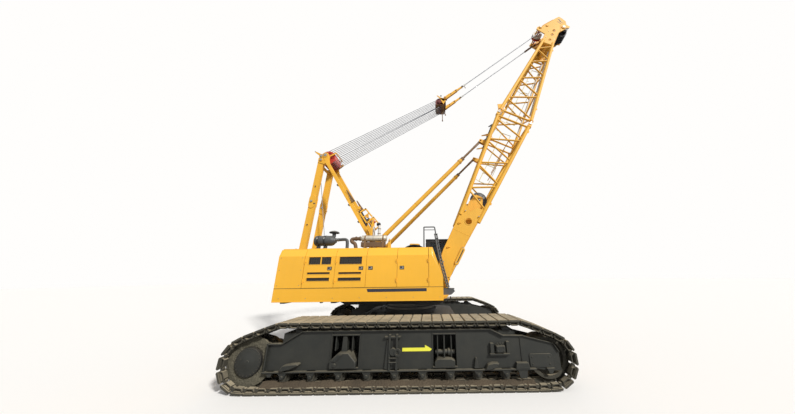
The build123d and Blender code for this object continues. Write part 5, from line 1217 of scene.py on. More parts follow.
def makeGantryTrim():
    legs, face = gantryLegs, gantryLegs["rearFace"]
    bm = bmesh.new()
    # head plates: bosses, keepers, horn and the pin ends
    x, z = tackle["head"]
    for centre, size in (((x, z), 0.115), ((-3.75, 7.25), 0.085), ((-3.74, 7.07), 0.070)):
        addRod(bm, (centre[0], -0.548, centre[1]), (centre[0], -0.52, centre[1]), size, segments=36,
               bevel=0.005)
        addRod(bm, (centre[0], -0.566, centre[1]), (centre[0], -0.54, centre[1]), size * 0.55, segments=28,
               paint=1, bevel=0.004)
        addBolts(bm, [((centre[0] + size * 0.78 * math.cos(t), -0.548,
                        centre[1] + size * 0.78 * math.sin(t)), (0, -1, 0))
                      for t in [math.tau * i / 6 for i in range(6)]], 0.011, 0.009, 1)
    addPlate(bm, roundedBar((-3.80, 7.31), (-4.045, 7.475), 0.055, 0.022), -0.50, -0.47, 0.003)
    addPlate(bm, roundedBar((-3.56, 7.20), (-3.46, 6.98), 0.10, 0.085), -0.535, -0.52, 0.003)
    addRod(bm, (-4.045, -0.52, 7.475), (-4.045, -0.45, 7.475), 0.016, segments=14, paint=1)
    # rear legs: inspection holes, the folding joint and its pin
    for z in (5.89, 4.31):
        share = (z - legs["rearFoot"][1]) / (legs["rearTop"][1] - legs["rearFoot"][1])
        spot = along(legs["rearFoot"], legs["rearTop"], share)
        addTurned(bm, [(0.030, -0.010), (0.048, -0.010), (0.048, 0.006), (0.030, 0.006)],
                  (spot.x, -face, spot.y), 24)
        addRod(bm, (spot.x, -face - 0.004, spot.y), (spot.x, -face + 0.004, spot.y), 0.032, segments=20,
               paint=2)
    way = (Vector(legs["rearTop"]) - Vector(legs["rearFoot"])).normalized()
    for low, high in ((-face - 0.022, -face + 0.006), (-0.362, -0.335)):
        joint = along(legs["rearFoot"], legs["rearTop"], 0.6195)
        addPlate(bm, roundedBar(joint - way * 0.16, joint + way * 0.13, 0.125), low, high, 0.004)
    addRod(bm, (joint.x - 0.02, -0.56, joint.y), (joint.x - 0.02, -0.31, joint.y), 0.042, segments=24,
           paint=1, bevel=0.004)
    addRod(bm, (joint.x + 0.10, -0.545, joint.y - 0.10), (joint.x + 0.10, -0.50, joint.y - 0.10), 0.024,
           segments=14, paint=2)
    foot = Vector(legs["rearFoot"])
    addPlate(bm, roundedBar(foot, foot + way * 0.30, 0.125, 0.11), -face - 0.020, -face + 0.004, 0.004)
    addRod(bm, (foot.x, -0.60, foot.y), (foot.x, -0.50, foot.y), 0.060, segments=28, paint=1, bevel=0.006)
    # welded gussets where the legs meet their cross tubes, and the front legs' clips
    way = (Vector(legs["frontTop"]) - Vector(legs["frontFoot"])).normalized()
    for share in (0.12, 0.40, 0.66, 0.90):
        spot = along(legs["frontFoot"], legs["frontTop"], share)
        addPlate(bm, roundedBar(spot - way * 0.09, spot + way * 0.09, 0.052), -legs["frontFace"] - 0.006,
                 -legs["frontFace"] + 0.004, 0.002)
    for share in (0.455, 0.60, 0.78):
        spot = along(legs["frontFoot"], legs["frontTop"], share) + Vector((-0.075, -0.045))
        addRod(bm, (spot.x, -0.60, spot.y), (spot.x, -0.50, spot.y), 0.030, segments=16, paint=2,
               bevel=0.003)
    addTube(bm, [(-0.72, -0.565, 2.62), (-1.62, -0.575, 3.92), (-2.55, -0.575, 5.52),
                 (-3.30, -0.565, 6.62)], 0.016, 2)
    # service platform and the flap above it
    corners = [(-1.93, 4.74), (-1.71, 4.88), (-1.41, 4.52), (-1.63, 4.31)]
    for a, b in zip(corners, corners[1:] + corners[:1]):
        addPlate(bm, roundedBar(a, b, 0.026), -0.635, -0.575, 0.003)
    addPlate(bm, roundedBar((-1.79, 4.54), (-1.57, 4.71), 0.024), -0.625, -0.585, 0.003)
    addPlate(bm, [(-2.00, 4.80), (-1.90, 4.86), (-1.58, 4.36), (-1.62, 4.22), (-1.68, 4.20)], -0.60, -0.575,
             0.003, 2)
    addBlock(bm, (-2.03, -0.64, 4.86), (-1.93, -0.56, 4.98), 0.006)
    addPlate(bm, [(-2.52, 5.64), (-2.49, 5.67), (-2.17, 5.24), (-2.20, 5.15), (-2.27, 5.17)], -0.64, -0.60,
             0.004, 3)
    for a, b in (((-2.50, 5.64), (-2.18, 5.22)), ((-2.26, 5.17), (-2.18, 5.22))):
        addPlate(bm, roundedBar(a, b, 0.022), -0.655, -0.59, 0.003, 3)
    bothSides(bm)
    # dead-end link of the luffing rope, right behind the far leg
    addPlate(bm, roundedBar((-3.44, 7.08), (-3.19, 7.28), 0.055, 0.038), 0.30, 0.325, 0.003)
    addPlate(bm, roundedBar((-3.44, 7.08), (-3.19, 7.28), 0.055, 0.038), 0.355, 0.38, 0.003)
    addRod(bm, (-3.22, 0.29, 7.255), (-3.22, 0.39, 7.255), 0.024, segments=16, paint=2)
    finishPiece("gantryTrim", bm, ["boomYellow", "bareSteel", "winchDark", "tubeBrown"], "superstructure")


def makeBridleTrim():    # cheek plates, cross plate, horns and the hanging rod
    bm = bmesh.new()
    axis, hinge = tackle["bridle"], (1.52, 10.31)
    for side in (-1, 1):
        low, high = sorted((side * 0.314, side * 0.326))
        addPlate(bm, roundedBar(axis, hinge, 0.105, 0.075), low, high, 0.003)
        addRod(bm, (axis[0], low - 0.012, axis[1]), (axis[0], high + 0.012, axis[1]), 0.062, segments=30,
               bevel=0.005)
        addBolts(bm, [((axis[0] + 0.082 * math.cos(t), side * 0.326, axis[1] + 0.082 * math.sin(t)),
                       (0, side, 0)) for t in [math.tau * i / 8 for i in range(8)]], 0.009, 0.008)
        low, high = sorted((side * 0.328, side * 0.342))
        addPlate(bm, roundedBar((1.165, 10.475), (1.44, 10.24), 0.024, 0.05), low, high, 0.003, 1)
        addPlate(bm, [(1.40, 10.36), (1.56, 10.22), (1.44, 10.00), (1.36, 10.14), (1.30, 10.32)], low, high,
                 0.003, 1)
        addRod(bm, (1.335, side * 0.35 - 0.02, 10.455), (1.335, side * 0.35 + 0.02, 10.455), 0.028,
               segments=16, paint=2)
        addTurned(bm, [(0.036, -0.010), (0.062, -0.010), (0.062, 0.010), (0.036, 0.010)],
                  (hinge[0], side * 0.405, hinge[1]), 26, 1)
    addBlock(bm, (1.53, -0.315, 9.98), (1.555, 0.315, 10.20), 0.004, 3)
    addBlock(bm, (1.10, -0.315, 9.985), (1.50, 0.315, 10.0), 0.004, 3)
    addRod(bm, (1.40, 0.0, 9.99), (1.395, 0.0, 9.36), 0.020, 0.016, segments=14, paint=4, bevel=0.003)
    addRod(bm, (1.395, 0.0, 9.39), (1.395, 0.0, 9.34), 0.028, segments=16, paint=4, bevel=0.004)
    addPlate(bm, roundedBar((1.53, 10.05), (1.575, 9.91), 0.024), 0.27, 0.29, 0.003, 3)
    finishPiece("bridleTrim", bm, ["bridleRed", "boomYellow", "winchDark", "tubeBrown", "scorchedSteel"],
                "bridle")


def makePendants():    # two-part links with their pins, then socket, rope, socket and eye plate
    bm = bmesh.new()
    hinge, top = Vector((1.52, 10.31)), Vector((6.9587, 14.8016))
    way = (top - hinge).normalized()
    knee, root = hinge + way * 0.72, hinge + way * 1.07
    for side in (-1, 1):
        y = side * 0.33
        for across in (-0.040, 0.034):
            addPlate(bm, roundedBar(hinge, knee, 0.062, 0.055), y + across, y + across + 0.012, 0.002, 0)
            addPlate(bm, roundedBar(knee - way * 0.10, root, 0.044, 0.036), y + across * 0.55,
                     y + across * 0.55 + 0.010, 0.002, 0)
        for spot in (hinge + way * 0.36, knee - way * 0.04, root):
            addRod(bm, (spot.x, y - 0.062, spot.y), (spot.x, y + 0.062, spot.y), 0.026, segments=18,
                   paint=2, bevel=0.003)
        addPlate(bm, roundedBar(hinge + way * 0.12, hinge + way * 0.30, 0.070), y - 0.052, y - 0.038, 0.003,
                 0)
        start = root + way * 0.04
        socket = start + way * 0.20
        addRod(bm, (start.x, y, start.y), (socket.x, y, socket.y), 0.036, 0.030, segments=20, paint=3,
               bevel=0.003)
        stop = top - way * (0.26 if side < 0 else 0.34)
        addRod(bm, (start.x, y, start.y), (stop.x, y, stop.y), 0.019, segments=12, paint=1)
        if side < 0:
            low = stop - way * 0.26
            addRod(bm, (low.x, y, low.y), (stop.x, y, stop.y), 0.024, 0.040, segments=20, paint=3,
                   bevel=0.003)
        else:    # the longer adjusting screw
            low, middle = stop - way * 0.88, stop - way * 0.30
            addRod(bm, (low.x, y, low.y), (stop.x, y, stop.y), 0.028, segments=16, paint=4)
            addRod(bm, (low.x, y, low.y), (middle.x, y, middle.y), 0.046, segments=20, paint=4, bevel=0.006)
            nut = stop - way * 0.12
            addRod(bm, (stop.x, y, stop.y), (nut.x, y, nut.y), 0.044, segments=20, paint=4, bevel=0.005)
        for across in (-0.029, 0.017):
            addPlate(bm, roundedBar(stop - way * 0.03, top, 0.040, 0.048), y + across, y + across + 0.012,
                     0.002, 0)
        addRod(bm, (stop.x, y - 0.045, stop.y), (stop.x, y + 0.045, stop.y), 0.022, segments=16, paint=2)
        addRod(bm, (top.x, y - 0.029, top.y), (top.x, y + 0.029, top.y), 0.039, segments=20, paint=2)
    addPlate(bm, roundedBar(root + way * 0.10, root + way * 0.13 + Vector((0.06, -0.17)), 0.014), -0.352,
             -0.338, 0.002, 4)
    finishPiece("pendantRopes", bm, ["boomYellow", "wireRope", "winchDark", "bareSteel", "tubeBrown"],
                "pendants", ["pendants"])


def makeBackstopTrim():    # collars of the tubes, their feet and the springs' sleeves
    foot, pin = Vector((-1.65, 3.06)), Vector((2.8799, 7.7373))
    way = (pin - foot).normalized()
    bm = bmesh.new()
    for side in (-1, 1):
        y = side * 0.715
        axis = (way.x, 0, way.y)
        base, lean = Vector((foot.x, y, foot.y)), Vector(axis)
        for reach, size, half in ((0.32, 0.088, 0.020), (5.20, 0.092, 0.035), (2.70, 0.084, 0.012)):
            addTurned(bm, [(0.079, -half), (size, -half), (size, half), (0.079, half)], base + lean * reach,
                      36, 0, axis)
        addTurned(bm, [(0.053, 0.0), (0.076, 0.0), (0.078, 0.02), (0.078, 0.12), (0.053, 0.12)],
                  base + lean * 5.30, 36, 1, axis)
        addBolts(bm, [(base + lean * 5.20 + Matrix.Rotation(math.tau * i / 6, 4, Vector(axis)) @
                       Vector((-way.y * 0.090, 0, way.x * 0.090)),
                       Matrix.Rotation(math.tau * i / 6, 4, Vector(axis)) @ Vector((-way.y, 0, way.x)))
                      for i in range(6)], 0.012, 0.012, 1)
        for across in (-0.052, 0.040):
            addPlate(bm, roundedBar(foot, foot + way * 0.26, 0.070, 0.060), y + across, y + across + 0.012,
                     0.003, 0)
        addRod(bm, (foot.x, y - 0.085, foot.y), (foot.x, y + 0.085, foot.y), 0.040, segments=24, paint=2,
               bevel=0.004)
    finishPiece("backstopCollars", bm, ["boomYellow", "tubeBrown", "bareSteel"], "backstop_tubes")


makeTackleSheaves()
makeLuffingRopes()
makeGantryTrim()
makeBridleTrim()
makePendants()
makeBackstopTrim()
for node, surface in (("gantry", "boomYellow"), ("rope_guard", "boomYellow"), ("bridle_block", "bridleRed"),
                      ("backstop_tubes", "boomYellow"), ("backstop_rods", "tubeBrown")):
    dressNode(node, surface)
print("gantry, tackle and backstops dressed")

# boom
boomFrame = Matrix(((math.cos(math.radians(63.4)), 0, -math.sin(math.radians(63.4)), 1.08), (0, 1, 0, 0),
                    (math.sin(math.radians(63.4)), 0, math.cos(math.radians(63.4)), 2.20), (0, 0, 0, 1)))
boom = {"footFace": 1.03, "headFace": 0.44, "headSheave": ((14.15, -0.42), 0.29, 0.25, 4, 0.110),
        "idler": ((13.62, 0.66), 0.24, 0.205, 2, 0.120),
        "splice": 7.18, "plate": 0.39, "foot": (2.9, 0.685, 1.0), "end": (12.6, 0.26, 0.5)}


def halfDepth(s):    # chord distance from the middle plane, along the boom
    if s <= boom["splice"]:
        share = max(0.0, (boom["splice"] - s) / (boom["splice"] - boom["foot"][0]))
        return boom["foot"][1] + (boom["plate"] - boom["foot"][1]) * share
    share = (s - boom["splice"]) / (boom["end"][0] - boom["splice"])
    return boom["foot"][1] + (boom["end"][1] - boom["foot"][1]) * share


def halfWidth(s):
    share = max(0.0, (s - boom["splice"]) / (boom["end"][0] - boom["splice"]))
    return boom["foot"][2] + (boom["end"][2] - boom["foot"][2]) * share


def makeBoomFoot():    # doubling plates, seams, bracket and pin ends on the plated foot
    face = boom["footFace"]
    bm = bmesh.new()
    addTurned(bm, [(0.066, -0.016), (0.150, -0.016), (0.158, -0.006), (0.158, 0.004), (0.066, 0.004)],
              (0, -face, 0), 40)
    addRod(bm, (0, -face - 0.070, 0), (0, -face - 0.010, 0), 0.060, segments=32, paint=1, bevel=0.006)
    addPlate(bm, [(-0.045, -0.018), (0.150, -0.012), (0.150, 0.012), (-0.045, 0.018)], -face - 0.075,
             -face - 0.055, 0.003, 1)
    addPlate(bm, [(1.795, -0.300), (1.812, -0.300), (1.812, 0.375), (1.795, 0.375)], -face - 0.004,
             -face + 0.002, 0.001)
    addPlate(bm, [(0.52, 0.286), (1.0, 0.350), (2.86, 0.352), (2.86, 0.378), (1.0, 0.376), (0.50, 0.306)],
             -face - 0.014, -face + 0.002, 0.003)
    addPlate(bm, [(0.50, -0.195), (1.40, -0.262), (2.86, -0.378), (2.86, -0.352), (1.40, -0.236),
                  (0.52, -0.170)], -face - 0.014, -face + 0.002, 0.003)
    addTurned(bm, [(0.118, -0.008), (0.150, -0.008), (0.150, 0.004), (0.118, 0.004)], (2.29, -face, -0.02),
              36)
    addPlate(bm, [(1.40, -0.20), (1.29, -0.31), (0.72, -0.29), (0.70, -0.18), (0.76, -0.155),
                  (1.34, -0.165)], -face - 0.045, -face + 0.002, 0.006)
    addPlate(bm, [(1.28, -0.265), (0.80, -0.250), (0.80, -0.220), (1.28, -0.228)], -face - 0.050,
             -face - 0.040, 0.002, 2)
    for s, n in ((0.78, -0.20), (1.33, -0.21), (2.60, 0.24), (2.60, -0.28), (0.62, 0.20)):
        addRod(bm, (s, -face - 0.052, n), (s, -face, n), 0.020, segments=6, paint=1)
    for s in (1.10, 2.05):
        addTube(bm, [(s, -face - 0.004, 0.30), (s + 0.02, -face - 0.05, 0.27),
                     (s + 0.05, -face - 0.05, 0.23), (s + 0.07, -face - 0.004, 0.20)], 0.012, 0, sides=3)
    bmesh.ops.transform(bm, matrix=boomFrame, verts=bm.verts)
    bothSides(bm)
    finishPiece("boomFootTrim", bm, ["boomYellow", "bareSteel", "winchDark"], "boom")


def makeWalkways():    # light frames inside both sections, their hangers and the boards
    bm = bmesh.new()
    for first, last, y, top in ((4.43, 5.30, 0.0, 0.22), (5.39, 7.12, 0.0, 0.21), (7.72, 9.60, -0.05, 0.20),
                                (9.76, 11.26, 0.0, 0.15)):
        line = [(first, y, top), (last, y, top - 0.02), (last + 0.02, y, -0.22), (first, y, -0.19),
                (first, y, top)]
        addTube(bm, line, 0.015, 0, smooth=False, sides=1)
        count = max(2, round((last - first) / 0.62))
        for step in range(1, count):
            s = first + (last - first) * step / count
            addRod(bm, (s, y, top - 0.01), (s, y - 0.005, top - 0.10), 0.008, segments=6)
    for s in (4.43, 5.34, 7.14, 7.72, 9.68, 11.28):    # hangers from the lacing
        addRod(bm, (s, 0.0, 0.22), (s + 0.05, 0.0, halfDepth(s) - 0.03), 0.010, segments=6, paint=0)
        addRod(bm, (s + 0.05, -halfWidth(s) + 0.05, halfDepth(s) - 0.03),
               (s + 0.05, halfWidth(s) - 0.05, halfDepth(s) - 0.03), 0.014, segments=8, paint=2)
    for s in (5.15, 5.60, 6.05):
        addRod(bm, (s, -halfWidth(s) + 0.04, -0.16), (s, halfWidth(s) - 0.04, -0.16), 0.016, segments=8,
               paint=2)
    # boards along the front chords of the upper section
    for side in (-1, 1):
        line = [(s, side * (halfWidth(s) - 0.20), -halfDepth(s) + 0.06)
                for s in (7.85, 8.95, 9.05, 10.15, 10.25, 11.35, 11.45, 12.35)]
        for a, b in zip(line[::2], line[1::2]):
            addRod(bm, a, b, 0.030, segments=10, paint=3)
    bmesh.ops.transform(bm, matrix=boomFrame, verts=bm.verts)
    finishPiece("boomWalkways", bm, ["walkYellow", "bareSteel", "boomYellow", "whitePaint"], "boom")


def makeSplices():    # keepers, bolts and the fan plates beside the pinned joints, and the horns below them
    bm = bmesh.new()
    s, depth, width = boom["splice"], boom["foot"][1], boom["foot"][2]
    for side in (-1, 1):
        for face in (-1, 1):
            y, n = side * width, face * depth
            low, high = sorted((side * (width + 0.060), side * (width + 0.084)))
            addRod(bm, (s, low, n), (s, high, n), 0.050, segments=24, paint=1, bevel=0.004)
            addPlate(bm, roundedBar((s, n), (s + 0.095, n), 0.016), low, high, 0.002, 1)
            for offset in (-0.15, 0.16):
                addTurned(bm, [(0.070, -0.018), (0.082, -0.018), (0.082, 0.018), (0.070, 0.018)],
                          (s + offset, y, n), 32, 0, (1, 0, 0))
        low, high = sorted((side * (width - 0.014), side * (width + 0.008)))
        fan = [(7.23, depth + 0.02), (7.55, depth + 0.20), (7.66, depth + 0.01), (7.60, depth - 0.10),
               (7.33, depth - 0.30)]
        addPlate(bm, fan, low, high, 0.003)
        addTurned(bm, [(0.035, -0.016), (0.060, -0.016), (0.060, 0.016), (0.035, 0.016)],
                  (7.45, side * width, depth - 0.10), 28, 1)
        addPlate(bm, [(7.34, -depth + 0.04), (7.34, -depth + 0.17), (7.62, -depth + 0.06)], low, high,
                 0.003)
        addPlate(bm, [(7.02, depth - 0.03), (7.02, depth - 0.17), (6.66, depth - 0.06)], low, high, 0.003)
        addPlate(bm, [(7.02, -depth + 0.04), (7.02, -depth + 0.17), (6.72, -depth + 0.06)], low, high,
                 0.003)
    # horns that keep the ropes off the rear face, and the rope rollers across it
    for s, out, paint in ((6.42, 0.30, 0), (6.98, 0.16, 2)):
        rear = halfDepth(s)
        for y in (-0.52, 0.49):
            addPlate(bm, roundedBar((s, rear + 0.01), (s - 0.22, rear + out), 0.045, 0.018), y, y + 0.03,
                     0.003, paint)
        addRod(bm, (s, -width + 0.05, rear), (s, width - 0.05, rear), 0.032, segments=16, paint=paint)
        addRod(bm, (s - 0.03, -0.49, rear + 0.06), (s - 0.03, 0.49, rear + 0.06), 0.036, segments=20,
               paint=2, bevel=0.004)
    bmesh.ops.transform(bm, matrix=boomFrame, verts=bm.verts)
    finishPiece("spliceTrim", bm, ["boomYellow", "bareSteel", "winchDark"], "boom")


def makeSlingLugs():
    bm = bmesh.new()
    for s in (3.25, 6.80, 8.10, 12.2):
        for side in (-1, 1):
            low, high = sorted((side * (halfWidth(s) - 0.008), side * (halfWidth(s) + 0.008)))
            addPlate(bm, [(s - 0.07, -halfDepth(s) - 0.06), (s + 0.07, -halfDepth(s) - 0.06),
                          (s + 0.035, -halfDepth(s) - 0.115), (s - 0.035, -halfDepth(s) - 0.115)], low,
                     high, 0.004)
    bmesh.ops.transform(bm, matrix=boomFrame, verts=bm.verts)
    finishPiece("slingLugs", bm, ["boomYellow"], "boom")


def makeHead():
    face = boom["headFace"]
    bm = bmesh.new()
    for s in (13.01, 13.41, 13.73):    # rims of the lightening holes
        addTurned(bm, [(0.060, -0.010), (0.084, -0.010), (0.084, 0.004), (0.060, 0.004)], (s, -face, -0.04),
                  32)
    addRod(bm, (14.15, -face - 0.030, -0.42), (14.15, -face + 0.01, -0.42), 0.115, segments=36, bevel=0.006)
    addRod(bm, (14.15, -face - 0.048, -0.42), (14.15, -face, -0.42), 0.060, segments=28, paint=1,
           bevel=0.005)
    addBolts(bm, [((14.15 + 0.090 * math.cos(t), -face - 0.030, -0.42 + 0.090 * math.sin(t)), (0, -1, 0))
                  for t in [math.tau * i / 8 for i in range(8)]], 0.012, 0.010, 1)
    addRod(bm, (13.62, -face - 0.026, 0.66), (13.62, -face + 0.01, 0.66), 0.085, segments=32, bevel=0.005)
    addRod(bm, (13.62, -face - 0.044, 0.66), (13.62, -face, 0.66), 0.045, segments=24, paint=1, bevel=0.004)
    addRod(bm, (13.90, -face - 0.030, 0.386), (13.90, -face + 0.01, 0.386), 0.070, segments=28, bevel=0.005)
    for s, n in ((14.52, -0.16), (14.43, -0.27), (14.34, -0.20)):    # narrow slots near the tip
        addPlate(bm, roundedBar((s, n), (s + 0.08, n + 0.18), 0.016), -face - 0.003, -face + 0.002, 0.0, 2)
    for outline in ([(13.80, -0.36), (14.20, -0.25), (14.58, -0.37), (14.60, -0.345), (14.20, -0.225),
                     (13.80, -0.335)],
                    [(12.66, 0.27), (13.30, 0.30), (13.30, 0.325), (12.66, 0.295)],
                    [(12.66, -0.31), (13.70, -0.305), (13.70, -0.28), (12.66, -0.285)],
                    [(13.74, 0.60), (13.92, 0.52), (14.42, 0.235), (14.43, 0.258), (13.93, 0.545),
                     (13.74, 0.625)]):
        addPlate(bm, outline, -face - 0.014, -face + 0.002, 0.003)
    for s, n in ((13.10, 0.20), (13.10, -0.22), (13.55, 0.20), (14.62, 0.03), (14.62, -0.08)):
        addRod(bm, (s, -face - 0.014, n), (s, -face + 0.002, n), 0.018, segments=6, paint=1)
    bmesh.ops.transform(bm, matrix=boomFrame, verts=bm.verts)
    bothSides(bm)
    inner = bmesh.new()    # between the plates: rope guards, walkway plate, lamp and cable box
    addPlate(inner, [(14.60, -0.38), (14.605, -0.66), (14.58, -0.68), (14.57, -0.40)], -0.30, 0.30, 0.003,
             2)
    addPlate(inner, [(14.10, -0.66), (14.58, -0.68), (14.58, -0.655), (14.10, -0.635)], -0.30, 0.30, 0.003,
             2)
    for y in (-0.30, -0.10, 0.10, 0.30):
        addPlate(inner, [(14.06, -0.36), (14.10, -0.66), (14.58, -0.67), (14.60, -0.40)], y - 0.008,
                 y + 0.008, 0.002, 2)
    addRod(inner, (14.66, -0.40, -0.03), (14.66, 0.40, -0.03), 0.035, segments=20, bevel=0.004)
    addRod(inner, (13.45, -0.40, 0.74), (13.45, 0.40, 0.74), 0.030, segments=20, bevel=0.004)
    addBlock(inner, (12.85, -0.38, 0.20), (13.25, 0.38, 0.222), 0.002, 3)
    for s in (12.95, 13.65, 14.28):
        addRod(inner, (s, -0.39, 0.10), (s, 0.39, 0.10), 0.026, segments=16)
    addBlock(inner, (14.30, -0.24, -0.06), (14.42, -0.06, 0.04), 0.010, 4)
    addRod(inner, (14.42, -0.15, -0.01), (14.47, -0.15, -0.01), 0.045, segments=24, paint=5, bevel=0.006)
    bmesh.ops.transform(inner, matrix=boomFrame, verts=inner.verts)
    joinPart(bm, inner, None)
    finishPiece("headTrim", bm, ["boomYellow", "bareSteel", "winchDark", "treadPlate", "plasticBlack",
                                 "lampGlass"], "boom")


def makeHeadSheaves():
    for name, node, key, surfaces in (("headWheels", "head_sheaves", "headSheave",
                                       ["winchDark", "winchDark"]),
                                      ("idlerWheels", "idler_sheaves", "idler",
                                       ["sheaveRed", "whitePaint"])):
        (s, n), radius, groove, count, pitch = boom[key]
        centre = boomFrame @ Vector((s, 0, n))
        bm = bmesh.new()
        addSheaves(bm, (centre.x, centre.z), radius, groove, 0.050 if key == "headSheave" else 0.040, count,
                   pitch, 0, 1 if key == "idler" else None)
        addRod(bm, (centre.x, -0.43, centre.z), (centre.x, 0.43, centre.z), 0.048 if key == "headSheave"
               else 0.038, segments=24, bevel=0.004)
        finishPiece(name, bm, surfaces, node, [node])


makeBoomFoot()
makeWalkways()
makeSplices()
makeSlingLugs()
makeHead()
makeHeadSheaves()
for node in ("boom_foot", "boom_lower_right_truss", "boom_lower_left_truss", "boom_lower_cross_bracing",
             "boom_splice_joints",
             "boom_upper_right_truss", "boom_upper_left_truss", "boom_upper_cross_bracing", "boom_head",
             "backstop_clevises"):
    dressNode(node, "boomYellow")
print("boom dressed")

# cab, boarding ladder and carbody
cab = {"inner": 1.18, "outer": 2.08}


def addSeal(bm, corners, y, size=0.014):    # rubber round a pane whose corners are given in x and z
    addTube(bm, [(x, y, z) for x, z in corners], size, 0, smooth=False, sides=2, cyclic=True)


def makeCabTrim():
    inner, outer = cab["inner"], cab["outer"]
    bm = bmesh.new()
    addSeal(bm, [(0.76, 2.95), (1.88, 2.95), (1.88, 3.83), (0.76, 3.83)], inner - 0.004)
    addSeal(bm, [(1.56, 2.95), (1.84, 2.95), (1.84, 3.83), (1.56, 3.83)], outer + 0.004)
    addTube(bm, [(0.556, y, z) for y, z in ((1.30, 2.95), (1.96, 2.95), (1.96, 3.83), (1.30, 3.83))], 0.014,
            0, smooth=False, cyclic=True)
    addTube(bm, [(x, y, z) for x, y, z in ((1.655, 1.26, 2.42), (2.125, 1.26, 3.30), (2.005, 1.26, 3.86),
                                           (2.005, 2.00, 3.86), (2.125, 2.00, 3.30), (1.655, 2.00, 2.42))],
            0.015, 0, smooth=False, cyclic=True)
    # roof: black skin with a gutter, hatch, lamps, beacon and aerial
    addBlock(bm, (0.545, inner - 0.012, 3.905), (1.995, outer + 0.012, 3.985), 0.018, 1)
    addBlock(bm, (0.78, 1.36, 3.98), (1.42, 1.90, 4.012), 0.012, 1)
    for y in (1.30, 1.96):
        addBlock(bm, (1.86, y - 0.085, 3.985), (1.96, y + 0.085, 4.09), 0.014, 2)
        addRod(bm, (1.955, y, 4.038), (1.985, y, 4.038), 0.042, segments=28, paint=3, bevel=0.006)
        addRod(bm, (1.90, y, 3.97), (1.90, y, 4.0), 0.018, segments=12, paint=2)
    addTurned(bm, [(0.0, 0.0), (0.060, 0.0), (0.060, 0.035), (0.050, 0.040), (0.046, 0.110), (0.030, 0.128),
                   (0.0, 0.132)], (0.72, 1.98, 3.985), 32, 4, (0, 0, 1), closed=False)
    # wiper, mirror, grab rails, door handle and rub strip
    addRod(bm, (1.78, 1.62, 2.64), (1.80, 1.62, 2.64), 0.026, segments=20, paint=2)
    addTube(bm, [(1.795, 1.62, 2.63), (1.90, 1.52, 2.80), (2.02, 1.46, 3.02)], 0.009, 2, smooth=False)
    addTube(bm, [(1.935, 1.40, 2.84), (2.055, 1.50, 3.07), (2.115, 1.56, 3.18)], 0.007, 0, smooth=False)
    addTube(bm, [(1.98, 2.06, 3.62), (2.12, 2.13, 3.66), (2.14, 2.14, 3.50), (2.14, 2.14, 3.34)], 0.010, 2)
    addBlock(bm, (2.115, 2.085, 3.18), (2.140, 2.170, 3.44), 0.012, 2)
    for x in (0.66, 1.53):
        addTube(bm, [(x, outer + 0.004, 2.55), (x, outer + 0.060, 2.57), (x, outer + 0.060, 3.30),
                     (x, outer + 0.004, 3.32)], 0.012, 5, sides=3)
    addTube(bm, [(0.62, inner - 0.004, 2.50), (0.62, inner - 0.055, 2.53), (0.62, inner - 0.055, 3.20),
                 (0.62, inner - 0.004, 3.23)], 0.012, 5, sides=3)
    addBlock(bm, (0.60, inner - 0.010, 2.30), (1.54, inner + 0.004, 2.335), 0.003, 2)
    addBlock(bm, (0.60, inner - 0.008, 2.02), (1.48, inner + 0.004, 2.05), 0.003, 0)
    for step in range(7):    # air grille low in the inner wall
        addBlock(bm, (0.68, inner - 0.014, 2.50 + 0.042 * step), (1.20, inner + 0.002, 2.52 + 0.042 * step),
                 0.003, 2)
    addBolts(bm, [((x, inner, z), (0, -1, 0)) for x in (0.60, 1.10, 1.46) for z in (2.10, 2.42)] +
             [((0.56, y, z), (-1, 0, 0)) for y in (1.24, 2.02) for z in (2.10, 2.80)], 0.012, 0.008, 2)
    finishPiece("cabTrim", bm, ["rubberBlack", "plasticBlack", "winchDark", "lampGlass", "arrowYellow",
                                "railGrey"], "superstructure")
    bm = bmesh.new()
    addSeal(bm, [(0.86, 2.70), (1.38, 2.70), (1.38, 3.74), (0.86, 3.74)], outer + 0.048, 0.012)
    addBlock(bm, (1.36, outer + 0.044, 2.50), (1.42, outer + 0.058, 2.60), 0.006, 1)
    addTube(bm, [(1.375, outer + 0.050, 2.52), (1.375, outer + 0.085, 2.53), (1.375, outer + 0.085, 2.60),
                 (1.375, outer + 0.050, 2.61)], 0.009, 1)
    addPlate(bm, [(0.84, 2.10), (1.40, 2.10), (1.40, 2.58), (0.84, 2.58)], outer + 0.044, outer + 0.050,
             0.003, 2)
    addBlock(bm, (0.84, outer + 0.046, 2.04), (1.40, outer + 0.054, 2.08), 0.002, 0)
    finishPiece("cabDoorTrim", bm, ["rubberBlack", "winchDark", "houseYellow"], "cab_door")


